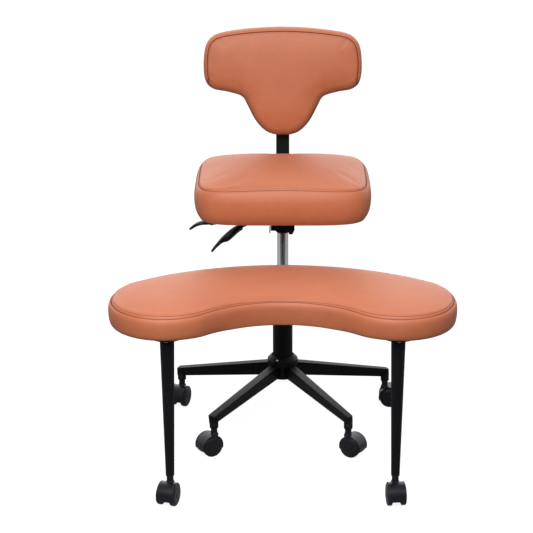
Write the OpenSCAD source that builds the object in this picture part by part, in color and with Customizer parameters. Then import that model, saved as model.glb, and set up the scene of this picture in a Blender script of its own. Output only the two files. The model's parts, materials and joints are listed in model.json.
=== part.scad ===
// Cross-legged office chair: a seat and backrest on a gas lift, and a padded
// kidney-shaped platform that swings round the same column on its own two legs.
// Millimetres. +Z is up, the column stands on X = Y = 0, the floor is Z = 0,
// and the sitter faces -Y.

/* [Casters] */
// Height of the caster sockets above the floor
socket_z = 67; // [63:1:76]
// Diameter of a caster wheel
wheel_d = 52; // [46:1:54]
// Width of the tread of one wheel
tread_w = 10.5; // [9:0.5:13]
// How far the outer face of a wheel bulges past its tread
wheel_dome = 2.3; // [1.5:0.1:3.5]
// Width of the caster body between its two wheels
caster_body_w = 21; // [18:1:26]
// Distance from the swivel axis back to the wheel axle
caster_trail = 14; // [12:1:18]
// Width of the hood over the wheels
hood_w = 39; // [34:1:41]
// Thickness of the hood
hood_t = 1.8; // [1.5:0.1:3]
// Diameter of the neck over the hood
neck_d = 13; // [12:0.5:16]
// Diameter of the swivel stem
stem_d = 11; // [10:0.5:11]
// Length of the stem inside its socket
stem_len = 22; // [18:1:24]
// Diameter of the wheel axle
axle_d = 8; // [6:0.5:9]
// Outer diameter of the nylon socket
socket_d = 16; // [15:0.5:17]
// Height of the rim under a nylon socket
socket_rim = 1.5; // [1:0.5:2.5]

/* [Star base] */
// Radius of the circle that the five star casters stand on
star_r = 278.5; // [250:1:300]
// Turn of the star base about the column
star_turn = -1; // [-3:0.5:3]
// Outer diameter of the hub tube
hub_d = 54; // [54:1:60]
// Height of the hub tube's lower end
hub_z = 112; // [108:1:116]
// Width of an arm beside the hub
arm_w_in = 28; // [24:1:30]
// Share of an arm's width that its underside keeps
arm_under_share = 0.6; // [0.5:0.05:1]
// Height of an arm beside the hub
arm_h_in = 38; // [32:1:42]
// Width of an arm at its outer end
arm_w_out = 18.5; // [16:0.5:19]
// Height of an arm at its outer end
arm_h_out = 22; // [18:0.5:26]
// Height of the underside of an arm beside the hub
arm_z_in = 116; // [114:1:120]
// Radius of an arm's rounded edges
arm_edge_r = 4; // [3:0.5:5]
// Wall of the arm tubes
arm_wall = 2.5; // [2:0.5:3]
// Diameter of the post at an arm's outer end
post_d = 20; // [20:0.5:22]
// Length of the post below the arm
post_drop = 10; // [6:1:14]
// Radius of the curve inside the elbow
elbow_r = 4; // [2:0.5:6]
// Diameter of the collar on the hub
collar_d = 77; // [70:1:84]
// Height of the top of the collar
collar_z = 173; // [168:1:178]

/* [Column] */
// Diameter of the column tube
column_d = 50; // [48:1:52]
// Wall of the column tube
column_wall = 2; // [1.5:0.5:3]
// Height of the column tube's top
column_top_z = 399; // [390:1:402]
// Diameter of the chromed lift cylinder
cylinder_d = 28; // [26:1:30]
// Wall of the lift cylinder
cylinder_wall = 1.5; // [1:0.5:2]
// Length of the guide bush in the column tube
guide_len = 110; // [80:5:130]
// Diameter of the piston rod
rod_d = 10; // [8:0.5:11]
// Travel of the lift
lift_travel = 100; // [60:5:120]

/* [Platform] */
// Height of the platform's underside
platform_z = 411; // [409:1:419]
// Thickness of the plywood board
platform_board_t = 12; // [9:1:16]
// Height of the upholstered band, from its lower edge to the seam
platform_band_h = 57; // [48:1:66]
// Height of the crown over the seam
platform_crown = 14; // [9:1:16]
// Radius of the two lobes
lobe_r = 133; // [124:1:138]
// Distance of each lobe's centre to the side of the column
lobe_x = 262; // [245:1:280]
// Distance of the lobes' centres in front of the column
lobe_y = 415; // [405:1:425]
// Distance of the rear edge in front of the column, at the middle
waist_rear = 182; // [180:1:192]
// Distance of the hollow front edge in front of the column, at the middle
waist_front = 434; // [420:1:440]
// Distance of each front leg to the side of the column
leg_x = 258; // [250:1:266]
// Distance of the front legs in front of the column
leg_y = 493; // [480:1:500]
// Diameter of a leg at its top
leg_top_d = 33; // [28:1:38]
// Diameter of the round plate on top of a leg
leg_plate_d = 80; // [70:1:90]
// Outer diameter of the swivel ring round the column
ring_d = 70; // [66:1:76]
// Height of the swivel ring
ring_h = 58; // [50:1:60]
// Width of the arm under the platform
bracket_w = 50; // [40:1:60]
// Height of the arm under the platform
bracket_h = 26; // [20:1:30]
// Wall of the arm under the platform
bracket_wall = 3; // [2:0.5:4]
// Thickness of the steel mounting plates
plate_t = 4; // [3:0.5:5]

/* [Seat] */
// Height of the underside of the seat board
seat_z = 563; // [555:1:571]
// Width of the seat cushion
seat_w = 431; // [414:1:442]
// Depth of the seat cushion
seat_d = 342; // [330:1:350]
// Distance of the seat's middle in front of the column
seat_forward = 5; // [0:1:12]
// Thickness of the seat board
seat_board_t = 10; // [8:1:14]
// Height of the upholstered band, from its lower edge to the seam
seat_band_h = 91; // [80:1:100]
// Height of the crown over the seam
seat_crown = 14; // [9:1:16]
// Width of the steel tray under the seat
tray_w = 58; // [54:1:64]
// Height of the tray's side walls
tray_h = 35; // [32:1:38]
// Front end of the tray, in front of the column
tray_front = 80; // [70:1:90]
// Rear end of the tray, behind the column
tray_rear = 95; // [90:1:104]
// Thickness of the tray's steel
tray_t = 3; // [2.5:0.5:3.5]
// Width of the plate that the seat is screwed to
seat_plate_w = 160; // [140:2:190]
// Diameter of the socket that takes the lift cylinder
taper_d = 38; // [35:1:42]
// Diameter of the lever rods
lever_d = 8; // [6:0.5:8]

/* [Back] */
// Width of the flat steel bar
bar_w = 34; // [30:1:38]
// Thickness of the flat steel bar
bar_t = 6; // [5:0.5:7]
// Lean of the backrest behind the upright
back_lean = 5; // [0:0.5:10]
// Inside radius of the bar's bend
bend_r = 25; // [20:1:40]
// Start of the bend, behind the column
bend_y = 200; // [192:1:215]
// Length of the bar's upright part
upright_len = 330; // [300:5:350]
// Width of the backrest
back_w = 402; // [390:1:414]
// Height of the backrest
back_h = 277; // [265:1:290]
// Distance of the backrest's lower end from the bend, along the upright
back_low = 121; // [120:1:140]
// Thickness of the backrest at its edge, with the board sunk in its back
back_cushion_t = 46; // [40:1:54]
// Height of the crown on the front of the backrest
back_crown = 8; // [5:1:12]
// Thickness of the board behind the backrest cushion
back_board_t = 10; // [8:1:14]
// Height of the carriage on the bar
carriage_h = 110; // [90:5:120]
// Diameter of the clamping knob
knob_d = 36; // [30:1:42]

/* [Hidden] */
// Casters: name, distance to the side, distance behind the column, heading of the trail
star_angles = [90, 162, 234, 306, 18];
star_names = ["rear", "left", "front_left", "front_right", "right"];
star_trail_dirs = [-90, -112, 213, -31, -4];
leg_names = ["leg_left", "leg_right"];
leg_trail_dirs = [-108, -84];

function star_xy(i) = star_r * [cos(star_angles[i] + star_turn), sin(star_angles[i] + star_turn)];

CASTERS = concat(
    [for (i = [0 : len(star_names) - 1]) [star_names[i], star_xy(i), star_trail_dirs[i]]],
    [for (i = [0 : 1]) [leg_names[i], [(2 * i - 1) * leg_x, -leg_y], leg_trail_dirs[i]]]
);

$fn = 64;
// Clearances between parts
turn_gap = 0.1;
seat_gap = 0.3;
lever_gap = 0.6;
wheel_gap = 0.5;
hood_gap = 0.8;
// Overrun of every cut
cut = 1;

steel_black = [0.11, 0.11, 0.12];
nylon_black = [0.2, 0.2, 0.22];
steel_bright = [0.72, 0.73, 0.75];
leather_tan = [0.8, 0.46, 0.34];
plywood = [0.72, 0.58, 0.4];
bush_white = [0.85, 0.84, 0.8];

// Heights that several pieces share
plate_z = seat_z - tray_t;
tray_z = plate_z - tray_h;

wheel_r = wheel_d / 2;
hood_r = wheel_r + hood_gap + hood_t;
column_r = column_d / 2;
cylinder_r = cylinder_d / 2;
rod_r = rod_d / 2;

// Pillow forms
// A closed outline is a list of points in pairs: point 0 and point N/2 are its two
// tips, and point i lies across from point N - i. A pillow is rings of the outline,
// drawn in along its normals, with a crowned top of rows between paired points.

function unit2(v) = v / max(norm(v), 0.000001);
function inward(pts, i) =
    let (n = len(pts), t = unit2(pts[(i + 1) % n] - pts[(i + n - 1) % n])) [-t[1], t[0]];
function drawn_in(pts, d) = [for (i = [0 : len(pts) - 1]) pts[i] + d * inward(pts, i)];
function raised(pts, z) = [for (p = pts) [p[0], p[1], z]];

// Points inside the top, row by row, lifted to a dome of height rise
function crown_rows(ring, z, rise, cols) =
    let (n = len(ring), m = n / 2)
    [for (i = [1 : m - 1], k = [1 : cols])
        let (
            s = k / (cols + 1),
            across = 1 - pow(2 * s - 1, 2),
            along = 1 - pow(abs(2 * i / m - 1), 4),
            p = ring[i] * (1 - s) + ring[n - i] * s
        ) [p[0], p[1], z + rise * pow(across * along, 0.7)]];

// Profile: pairs of how far the ring is drawn in and how high it lies, bottom first
module pillow(outline, profile, rise, cols) {
    n = len(outline);
    m = n / 2;
    last = len(profile) - 1;
    rings = [for (p = profile) each raised(drawn_in(outline, p[0]), p[1])];
    top = drawn_in(outline, profile[last][0]);
    dome = crown_rows(top, profile[last][1], rise, cols);
    points = concat(rings, dome);
    start = n * last;
    walls = [for (r = [0 : last - 1], i = [0 : n - 1])
        let (a = r * n + i, b = r * n + (i + 1) % n)
        each [[a, a + n, b + n], [a, b + n, b]]];
    floor = [for (i = [1 : m - 1]) each i == 1
        ? [[0, 1, n - 1], [1, 2, n - 2], [1, n - 2, n - 1]]
        : i == m - 1 ? [[i, m, n - i]] : [[i, i + 1, n - i - 1], [i, n - i - 1, n - i]]];
    function cell(i, k) = k == 0 ? start + i : k == cols + 1 ? start + n - i
        : n * (last + 1) + (i - 1) * cols + k - 1;
    grid = [for (i = [1 : m - 2], k = [0 : cols])
        each [[cell(i, k), cell(i, k + 1), cell(i + 1, k + 1)],
              [cell(i, k), cell(i + 1, k + 1), cell(i + 1, k)]]];
    tips = [for (k = [0 : cols])
        each [[start, cell(1, k + 1), cell(1, k)],
              [start + m, cell(m - 1, k), cell(m - 1, k + 1)]]];
    polyhedron(points, concat(walls, floor, grid, tips));
}

// Casters

module caster_place(c) {
    translate([c[1][0], c[1][1], 0]) rotate([0, 0, c[2] + 90]) children();
}

module along_x(w) {
    translate([-w / 2, 0, 0]) rotate([0, 90, 0]) children();
}

web_lift = 7.5;
hood_skirt = 9;
boss_r = neck_d / 2 + hood_t;

module caster_hood(c) {
    web_w = caster_body_w - 2 * wheel_gap;
    color(nylon_black) caster_place(c) difference() {
        union() {
            translate([0, -caster_trail, wheel_r]) {
                along_x(web_w) cylinder(r = wheel_r - web_lift, h = web_w);
                difference() {
                    union() {
                        along_x(web_w) cylinder(r = hood_r, h = web_w);
                        difference() {
                            along_x(hood_w) cylinder(r = hood_r, h = hood_w);
                            along_x(hood_w + 2 * cut)
                                cylinder(r = hood_r - hood_t, h = hood_w + 2 * cut);
                        }
                    }
                    translate([-hood_w, -hood_w, -hood_w - hood_skirt])
                        cube([2 * hood_w, 2 * hood_w, hood_w]);
                }
            }
            translate([0, 0, wheel_r]) cylinder(r = boss_r, h = wheel_r);
            cylinder_z(neck_d / 2, wheel_r, socket_z - wheel_gap);
        }
        translate([0, 0, wheel_r + axle_d]) cylinder(d = stem_d, h = socket_z);
        translate([0, -caster_trail, wheel_r]) along_x(hood_w) cylinder(d = axle_d, h = hood_w);
    }
}

module cylinder_z(r, z_low, z_high) {
    translate([0, 0, z_low]) cylinder(r = r, h = z_high - z_low);
}

axle_len = caster_body_w + 2 * tread_w - 2 * wheel_dome;

module caster_pins(c) {
    color(steel_bright) caster_place(c) {
        cylinder_z(stem_d / 2, wheel_r + axle_d, socket_z + stem_len);
        translate([0, -caster_trail, wheel_r]) along_x(axle_len) cylinder(d = axle_d, h = axle_len);
    }
}

tread_edge = 1.5;

// Side is -1 or 1
module caster_wheel(c, side) {
    dome_r = (wheel_r * wheel_r + wheel_dome * wheel_dome) / (2 * wheel_dome);
    bore_len = axle_len / 2 - caster_body_w / 2 + seat_gap;
    color(nylon_black) caster_place(c) translate([0, -caster_trail, wheel_r])
        rotate([0, side * 90, 0]) translate([0, 0, caster_body_w / 2]) difference() {
            intersection() {
                rotate_extrude() polygon([
                    [0, 0], [wheel_r - tread_edge, 0], [wheel_r, tread_edge],
                    [wheel_r, tread_w - tread_edge], [wheel_r - tread_edge, tread_w],
                    [wheel_r - tread_edge, tread_w + wheel_dome], [0, tread_w + wheel_dome]
                ]);
                translate([0, 0, tread_w + wheel_dome - dome_r]) sphere(r = dome_r, $fn = 128);
            }
            translate([0, 0, -cut]) cylinder(d = axle_d + 2 * turn_gap, h = bore_len + cut);
        }
}

// Nylon sockets that the stems turn in

socket_floor = 2;
socket_len = stem_len + socket_floor;

module socket_insert() {
    translate([0, 0, socket_z]) difference() {
        union() {
            cylinder(d = socket_d, h = socket_len);
            cylinder(d = post_d, h = socket_rim);
        }
        translate([0, 0, -cut]) cylinder(d = stem_d + 2 * turn_gap, h = stem_len + seat_gap + cut);
    }
}

module base_sockets() {
    color(nylon_black) for (i = [0 : len(star_names) - 1])
        translate([star_xy(i)[0], star_xy(i)[1], 0]) socket_insert();
}

module leg_sockets() {
    color(nylon_black) for (side = [-1, 1]) translate([side * leg_x, -leg_y, 0]) socket_insert();
}

// Star base

post_z = socket_z + socket_rim;
arm_z_out = post_z + post_drop;
arm_start = 20;
arm_section_t = 1;
post_bevel = 3;
collar_band = 16;
collar_rise = 10;

module rounded_section(w, h, z) {
    for (y = [-1, 1], up = [0, 1])
        translate([
            0, y * (w / 2 * (up + (1 - up) * arm_under_share) - arm_edge_r),
            z + arm_edge_r + up * (h - 2 * arm_edge_r)
        ])
            rotate([0, 90, 0]) cylinder(r = arm_edge_r, h = arm_section_t, $fn = 20);
}

module arm_shell() {
    hull() {
        translate([arm_start, 0, 0]) rounded_section(arm_w_in, arm_h_in, arm_z_in);
        translate([star_r, 0, 0]) rounded_section(arm_w_out, arm_h_out, arm_z_out);
    }
}

// Round post at an arm's end, with a bevelled top just over the arm
module arm_post() {
    top_z = arm_z_out + arm_h_out + post_bevel / 2;
    cylinder_z(post_d / 2, post_z, top_z - post_bevel);
    translate([0, 0, top_z - post_bevel])
        cylinder(d1 = post_d, d2 = post_d - 2 * post_bevel, h = post_bevel);
}

// A size of the arm at distance x from the column
function along_arm(x, v_in, v_out) = v_in + (v_out - v_in) * (x - arm_start) / (star_r - arm_start);

// Hollow of an arm, between the hub and its post
module arm_hollow() {
    ends = [hub_d / 2, star_r - post_d];
    half = [for (x = ends) along_arm(x, arm_w_in, arm_w_out) / 2 * arm_under_share - arm_wall];
    low = [for (x = ends) along_arm(x, arm_z_in, arm_z_out) + arm_wall];
    high = [for (x = ends) along_arm(x, arm_z_in + arm_h_in, arm_z_out + arm_h_out) - 2 * arm_wall];
    intersection() {
        rotate([90, 0, 0]) translate([0, 0, -arm_w_in]) linear_extrude(2 * arm_w_in) polygon([
            [ends[0], low[0]], [ends[1], low[1]], [ends[1], high[1]], [ends[0], high[0]]
        ]);
        translate([0, 0, post_z]) linear_extrude(collar_z - post_z) polygon([
            [ends[0], -half[0]], [ends[1], -half[1]], [ends[1], half[1]], [ends[0], half[0]]
        ]);
    }
}

// Curve inside the elbow, between the arm's underside and the post
module elbow_fillet() {
    w = (post_d - arm_edge_r) * arm_under_share;
    reach = elbow_r + post_d / 2;
    translate([star_r - reach, w / 2, arm_z_out - elbow_r]) rotate([90, 0, 0])
        linear_extrude(w) difference() {
            square([reach, elbow_r + arm_edge_r]);
            circle(r = elbow_r);
        }
}

module star_base() {
    color(steel_black) difference() {
        union() {
            cylinder_z(hub_d / 2, hub_z, collar_z);
            translate([0, 0, collar_z - collar_rise - collar_band]) rotate_extrude() polygon([
                [column_r, 0], [collar_d / 2 - tread_edge, 0], [collar_d / 2, tread_edge],
                [collar_d / 2, collar_band], [hub_d / 2 + tread_edge, collar_band + collar_rise],
                [column_r, collar_band + collar_rise]
            ]);
            for (a = star_angles) rotate([0, 0, a + star_turn]) {
                arm_shell();
                translate([star_r, 0, 0]) arm_post();
                elbow_fillet();
            }
        }
        cylinder_z(column_r, hub_z - cut, collar_z + cut);
        for (a = star_angles) rotate([0, 0, a + star_turn]) {
            arm_hollow();
            translate([star_r, 0, 0]) cylinder_z(socket_d / 2, post_z - cut, socket_z + socket_len);
        }
    }
}

// Column and gas lift

column_floor = 3;
bearing_h = 6;
clip_t = 2;
bush_rim = 2;
rod_tail = 7;

module column_tube() {
    color(steel_black) difference() {
        cylinder_z(column_r, hub_z, column_top_z);
        cylinder_z(column_r - column_wall, hub_z + column_floor, column_top_z + cut);
        cylinder_z(rod_r + turn_gap, hub_z - cut, hub_z + column_floor + cut);
    }
}

module guide_bush() {
    color(nylon_black) difference() {
        union() {
            cylinder_z(column_r - column_wall, column_top_z - guide_len, column_top_z);
            cylinder_z(column_r, column_top_z, column_top_z + bush_rim);
        }
        cylinder_z(cylinder_r + turn_gap, column_top_z - guide_len - cut, column_top_z + bush_rim + cut);
    }
}

// Two races and a ring of balls under the rod's shoulder
bearing_r = 13;
race_t = 1.5;
ball_count = 10;

module thrust_bearing() {
    ball_r = (bearing_h - 2 * race_t) / 2;
    track_r = (bearing_r + rod_r) / 2;
    z0 = hub_z + column_floor;
    color(steel_bright) {
        for (z = [z0, z0 + bearing_h - race_t]) translate([0, 0, z]) difference() {
            cylinder(r = bearing_r, h = race_t);
            translate([0, 0, -cut]) cylinder(r = rod_r + turn_gap, h = race_t + 2 * cut);
        }
        difference() {
            cylinder_z(track_r + ball_r / 2, z0 + race_t, z0 + bearing_h - race_t);
            cylinder_z(track_r - ball_r / 2, z0, z0 + bearing_h);
            for (i = [0 : ball_count - 1]) rotate([0, 0, i * 360 / ball_count])
                translate([track_r, 0, z0 + bearing_h / 2]) sphere(r = ball_r, $fn = 16);
        }
        for (i = [0 : ball_count - 1]) rotate([0, 0, i * 360 / ball_count])
            translate([track_r, 0, z0 + bearing_h / 2]) sphere(r = ball_r, $fn = 16);
    }
}

// Space under the lowered cylinder, and of its top under the seat plate
cylinder_rest = 12;
cylinder_drop = 19;
cylinder_low_z = hub_z + column_floor + bearing_h + cylinder_rest;
cylinder_top_z = plate_z - cylinder_drop;
end_plug_h = 16;
valve_plug_h = 26;
piston_h = 16;
rod_collar_h = 4;
// The piston meets the cylinder's end plug when the seat is right up
rod_top_z = cylinder_low_z + end_plug_h + lift_travel + seat_gap + piston_h;

// The rod's shoulder sits on the bearing, its clip holds it under the column's floor
module piston_rod() {
    z0 = hub_z + column_floor + bearing_h;
    color(steel_bright) {
        cylinder_z(rod_r, hub_z - rod_tail, rod_top_z);
        cylinder_z(rod_r + rod_collar_h / 2, z0 + turn_gap, z0 + rod_collar_h);
        cylinder_z(cylinder_r - cylinder_wall - turn_gap, rod_top_z - piston_h, rod_top_z);
        cylinder_z(rod_r + rod_collar_h / 2, hub_z - seat_gap - clip_t, hub_z - seat_gap);
    }
}

button_r = 3;

module gas_cylinder() {
    color(steel_bright) difference() {
        cylinder_z(cylinder_r, cylinder_low_z, cylinder_top_z);
        cylinder_z(cylinder_r - cylinder_wall, cylinder_low_z + end_plug_h, cylinder_top_z - valve_plug_h);
        cylinder_z(rod_r + turn_gap, cylinder_low_z - cut, cylinder_low_z + end_plug_h + cut);
        cylinder_z(button_r + turn_gap, cylinder_top_z - valve_plug_h - cut, cylinder_top_z + cut);
    }
}

lever_drop = 8;
lever_z = plate_z - lever_drop;
button_top_z = lever_z - lever_d / 2 - seat_gap;

module valve_button() {
    color(steel_bright) cylinder_z(button_r, cylinder_top_z - valve_plug_h, button_top_z);
}

// Clamped collar that carries the platform's ring

collar_h = 16;
ring_bush_wall = 4;
ring_bush_rim = 2;
stop_collar_d = ring_d - ring_bush_wall;
collar_slot = 3;
// How far the ring's top lies below the plate
ring_sunk = 6;
ring_z = platform_z - plate_t - ring_sunk - ring_h;
clamp_screw_d = 3;

module stop_collar() {
    z1 = ring_z - ring_bush_rim - seat_gap;
    color(steel_black) difference() {
        cylinder_z(stop_collar_d / 2, z1 - collar_h, z1);
        cylinder_z(column_r, z1 - collar_h - cut, z1 + cut);
        translate([-collar_slot / 2, 0, z1 - collar_h - cut])
            cube([collar_slot, stop_collar_d, collar_h + 2 * cut]);
    }
    color(steel_bright) translate([0, (column_r + stop_collar_d / 2) / 2, z1 - collar_h / 2])
        along_x(stop_collar_d / 2) cylinder(d = clamp_screw_d, h = stop_collar_d / 2);
}

// Platform

bracket_top = platform_z - plate_t;
bracket_plate_w = 220;
bracket_plate_d = 170;
bracket_plate_y = (waist_rear + waist_front) / 2;
screw_d = 6;
screw_head_d = 11;
screw_head_h = 3;
screw_grip = 9;
screw_inset = 14;

module bracket_screws_at() {
    for (x = [-1, 1], y = [-1, 1]) translate([
        x * (bracket_plate_w / 2 - screw_inset),
        -bracket_plate_y + y * (bracket_plate_d / 2 - screw_inset), 0
    ]) children();
}

leg_screw_angles = [30, 150, 270];

module leg_screw_ring() {
    for (a = leg_screw_angles) rotate([0, 0, a])
        translate([leg_plate_d / 2 - screw_head_d, 0, 0]) children();
}

module leg_screws_at() {
    for (side = [-1, 1]) translate([side * leg_x, -leg_y, 0]) leg_screw_ring() children();
}

module platform_bracket() {
    ring_r = ring_d / 2;
    bush_r = column_r + turn_gap + ring_bush_wall;
    arm_end = bracket_plate_y + bracket_plate_d / 6;
    color(steel_black) difference() {
        union() {
            cylinder_z(ring_r, ring_z, ring_z + ring_h);
            translate([-bracket_w / 2, -arm_end, bracket_top - bracket_h])
                cube([bracket_w, arm_end - column_r, bracket_h - ring_sunk]);
            translate([-bracket_w / 2, -arm_end, bracket_top - ring_sunk - cut])
                cube([bracket_w, arm_end - ring_r, ring_sunk + cut]);
            translate([-bracket_plate_w / 2, -bracket_plate_y - bracket_plate_d / 2, bracket_top])
                cube([bracket_plate_w, bracket_plate_d, plate_t]);
        }
        cylinder_z(bush_r, ring_z - cut, ring_z + ring_h + cut);
        translate([-bracket_w / 2 + bracket_wall, -arm_end - cut, bracket_top - bracket_h + bracket_wall])
            cube([bracket_w - 2 * bracket_wall, arm_end - ring_r, bracket_h - 2 * bracket_wall]);
        bracket_screws_at() cylinder_z(screw_d / 2, bracket_top - cut, platform_z + cut);
    }
}

module ring_bush() {
    bush_r = column_r + turn_gap + ring_bush_wall;
    color(bush_white) difference() {
        union() {
            cylinder_z(bush_r, ring_z, ring_z + ring_h);
            cylinder_z(ring_d / 2, ring_z - ring_bush_rim, ring_z);
        }
        cylinder_z(column_r + turn_gap, ring_z - ring_bush_rim - cut, ring_z + ring_h + cut);
    }
}

// Kidney outline: two lobes, joined by a bulging arc behind and a hollow arc in front.
// Both arcs touch the lobes, which fixes their radii.
rear_rise = lobe_y - waist_rear;
rear_arc_r = (lobe_x * lobe_x + rear_rise * rear_rise - lobe_r * lobe_r) / (2 * (rear_rise - lobe_r));
rear_arc_y = -waist_rear - rear_arc_r;
front_rise = waist_front - lobe_y;
front_arc_r = (lobe_x * lobe_x + front_rise * front_rise - lobe_r * lobe_r) / (2 * (lobe_r - front_rise));
front_arc_y = -waist_front - front_arc_r;
rear_reach = atan2(lobe_x, -lobe_y - rear_arc_y);
front_reach = atan2(lobe_x, -lobe_y - front_arc_y);

function arc(cx, cy, r, a0, a1, n) =
    [for (i = [0 : n - 1]) let (a = a0 + (a1 - a0) * i / n) [cx + r * cos(a), cy + r * sin(a)]];

// Angle on the left lobe where the outline starts
tip_angle = 200;
kidney_half = concat(
    arc(-lobe_x, -lobe_y, lobe_r, tip_angle, 270 + front_reach, 17),
    arc(0, front_arc_y, front_arc_r, 90 + front_reach, 90 - front_reach, 12),
    arc(lobe_x, -lobe_y, lobe_r, 270 - front_reach, 540 - tip_angle, 17)
);
kidney_back = concat(
    arc(lobe_x, -lobe_y, lobe_r, 180 - tip_angle, 90 - rear_reach, 12),
    arc(0, rear_arc_y, rear_arc_r, 90 - rear_reach, 90 + rear_reach, 22),
    arc(-lobe_x, -lobe_y, lobe_r, 90 + rear_reach, tip_angle, 12)
);
kidney = concat(kidney_half, kidney_back);
// How far a board lies inside its cushion's outline
board_in = 14;

module platform_board() {
    color(plywood) difference() {
        translate([0, 0, platform_z])
            linear_extrude(platform_board_t) polygon(drawn_in(kidney, board_in));
        bracket_screws_at() cylinder_z(screw_d / 2, platform_z - cut, platform_z + screw_grip);
        leg_screws_at() cylinder_z(screw_d / 2, platform_z - cut, platform_z + screw_grip);
    }
}

// Rings of a cushion's side: draw-in as a share of edge_in, height as a share of the band
band_shares = [[1, 0], [0.35, 0.12], [0, 0.4], [0, 0.7], [0.4, 0.9], [1, 1]];
edge_in = 6;
crown_in = 14;
// Part of the crown that is a smooth dome inside its last ring
dome_share = 0.2;
platform_cols = 5;
cushion_cols = 7;

function band_profile(z, h, crown) = concat(
    [for (s = band_shares) [s[0] * edge_in, z + s[1] * h]],
    [[edge_in + crown_in, z + h + crown / 2], [edge_in + 2 * crown_in, z + h + 0.8 * crown]]
);

module platform_cushion() {
    color(leather_tan) difference() {
        pillow(
            kidney, band_profile(platform_z, platform_band_h, platform_crown),
            dome_share * platform_crown, platform_cols
        );
        translate([0, 0, platform_z - cut])
            linear_extrude(platform_board_t + cut) polygon(drawn_in(kidney, board_in));
    }
}

module leg(side) {
    color(steel_black) translate([side * leg_x, -leg_y, 0]) difference() {
        union() {
            translate([0, 0, post_z])
                cylinder(d1 = post_d, d2 = leg_top_d, h = bracket_top - post_z);
            cylinder_z(leg_plate_d / 2, bracket_top, platform_z);
        }
        cylinder_z(socket_d / 2, post_z - cut, socket_z + socket_len);
        leg_screw_ring() cylinder_z(screw_d / 2, bracket_top - cut, platform_z + cut);
    }
}

module left_leg() {
    leg(-1);
}

module right_leg() {
    leg(1);
}

module pan_screw(z_head, grip) {
    cylinder_z(screw_head_d / 2, z_head - screw_head_h, z_head);
    cylinder_z(screw_d / 2, z_head - screw_head_h, z_head + grip);
}

module platform_screws() {
    color(steel_black) {
        bracket_screws_at() pan_screw(bracket_top, plate_t + screw_grip);
        leg_screws_at() pan_screw(bracket_top, plate_t + screw_grip);
    }
}

// Seat

// Reach of the lift's socket below and above the tray's floor
taper_below = 27;
taper_above = 12;
taper_z = tray_z - taper_below;
taper_top_z = tray_z + taper_above;
taper_chamfer = 4;
// Place of the tilt pin from the tray's rear end and floor
pin_in = 15;
pin_up = 15;
pin_r = 5;
pivot_y = tray_rear - pin_in;
pivot_z = tray_z + pin_up;
tilt_lever_y = pivot_y / 2;
tilt_lever_up = 11;
tilt_lever_z = tray_z + tilt_lever_up;
plate_lip = 5;
seat_plate_front = tray_front + plate_lip;
// Mouth of the tray, where the bar's fork swings
mouth_len = 30;
tray_open_y = pivot_y - mouth_len;

module seat_screws_at() {
    for (x = [-1, 1], y = [-1, 1]) translate([
        x * (seat_plate_w / 2 - screw_inset),
        (tray_rear - seat_plate_front) / 2 + y * ((tray_rear + seat_plate_front) / 2 - screw_inset), 0
    ]) children();
}

module mechanism_plate() {
    inner_w = tray_w - 2 * tray_t;
    color(steel_black) difference() {
        union() {
            translate([-seat_plate_w / 2, -seat_plate_front, plate_z])
                cube([seat_plate_w, seat_plate_front + tray_rear, tray_t]);
            difference() {
                translate([-tray_w / 2, -tray_front, tray_z])
                    cube([tray_w, tray_front + tray_rear, tray_h]);
                translate([-inner_w / 2, -tray_front + tray_t, tray_z + tray_t])
                    cube([inner_w, tray_front + tray_rear, tray_h]);
                translate([-inner_w / 2, tray_open_y, tray_z - cut])
                    cube([inner_w, tray_rear, tray_h]);
            }
            cylinder_z(taper_d / 2, taper_z + taper_chamfer, taper_top_z);
            translate([0, 0, taper_z])
                cylinder(d1 = taper_d - 2 * taper_chamfer, d2 = taper_d, h = taper_chamfer);
        }
        cylinder_z(cylinder_r, taper_z - cut, taper_top_z + cut);
        for (at = [[0, lever_z], [tilt_lever_y, tilt_lever_z]])
            translate([-tray_w, at[0], at[1]]) rotate([0, 90, 0])
                cylinder(d = lever_d + 2 * lever_gap, h = tray_w);
        translate([0, pivot_y, pivot_z]) along_x(2 * tray_w) cylinder(r = pin_r, h = 2 * tray_w);
        seat_screws_at() cylinder_z(screw_d / 2, plate_z - cut, seat_z + cut);
    }
}

module tilt_pin() {
    color(steel_bright) translate([0, pivot_y, pivot_z]) {
        along_x(tray_w) cylinder(r = pin_r, h = tray_w);
        for (side = [-1, 1]) translate([side * (tray_w / 2 + pin_r / 4), 0, 0])
            along_x(pin_r / 2) cylinder(r = pin_r + tray_t / 2, h = pin_r / 2);
    }
}

// Rounded square with slightly bulging sides
seat_square = 4.6;
seat_points = 60;

function squared(v) = sign(v) * pow(abs(v), 2 / seat_square);

seat_outline = [for (i = [0 : seat_points - 1])
    let (a = 180 + i * 360 / seat_points)
    [seat_w / 2 * squared(cos(a)), -seat_forward + seat_d / 2 * squared(sin(a))]];

module seat_board() {
    color(plywood) difference() {
        translate([0, 0, seat_z])
            linear_extrude(seat_board_t) polygon(drawn_in(seat_outline, board_in));
        seat_screws_at() cylinder_z(screw_d / 2, seat_z - cut, seat_z + screw_grip - screw_head_h);
    }
}

module seat_cushion() {
    color(leather_tan) difference() {
        pillow(
            seat_outline, band_profile(seat_z, seat_band_h, seat_crown),
            dome_share * seat_crown, cushion_cols
        );
        translate([0, 0, seat_z - cut])
            linear_extrude(seat_board_t + cut) polygon(drawn_in(seat_outline, board_in));
    }
}

module seat_screws() {
    color(steel_bright) seat_screws_at() pan_screw(plate_z, tray_t + screw_grip - screw_head_h);
}

// Levers: round rods along hand-bent paths

module rod_between(a, b, r) {
    v = b - a;
    translate(a) rotate([0, acos(v[2] / norm(v)), atan2(v[1], v[0])]) cylinder(r = r, h = norm(v));
}

bend_swell = 0.8;

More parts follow.
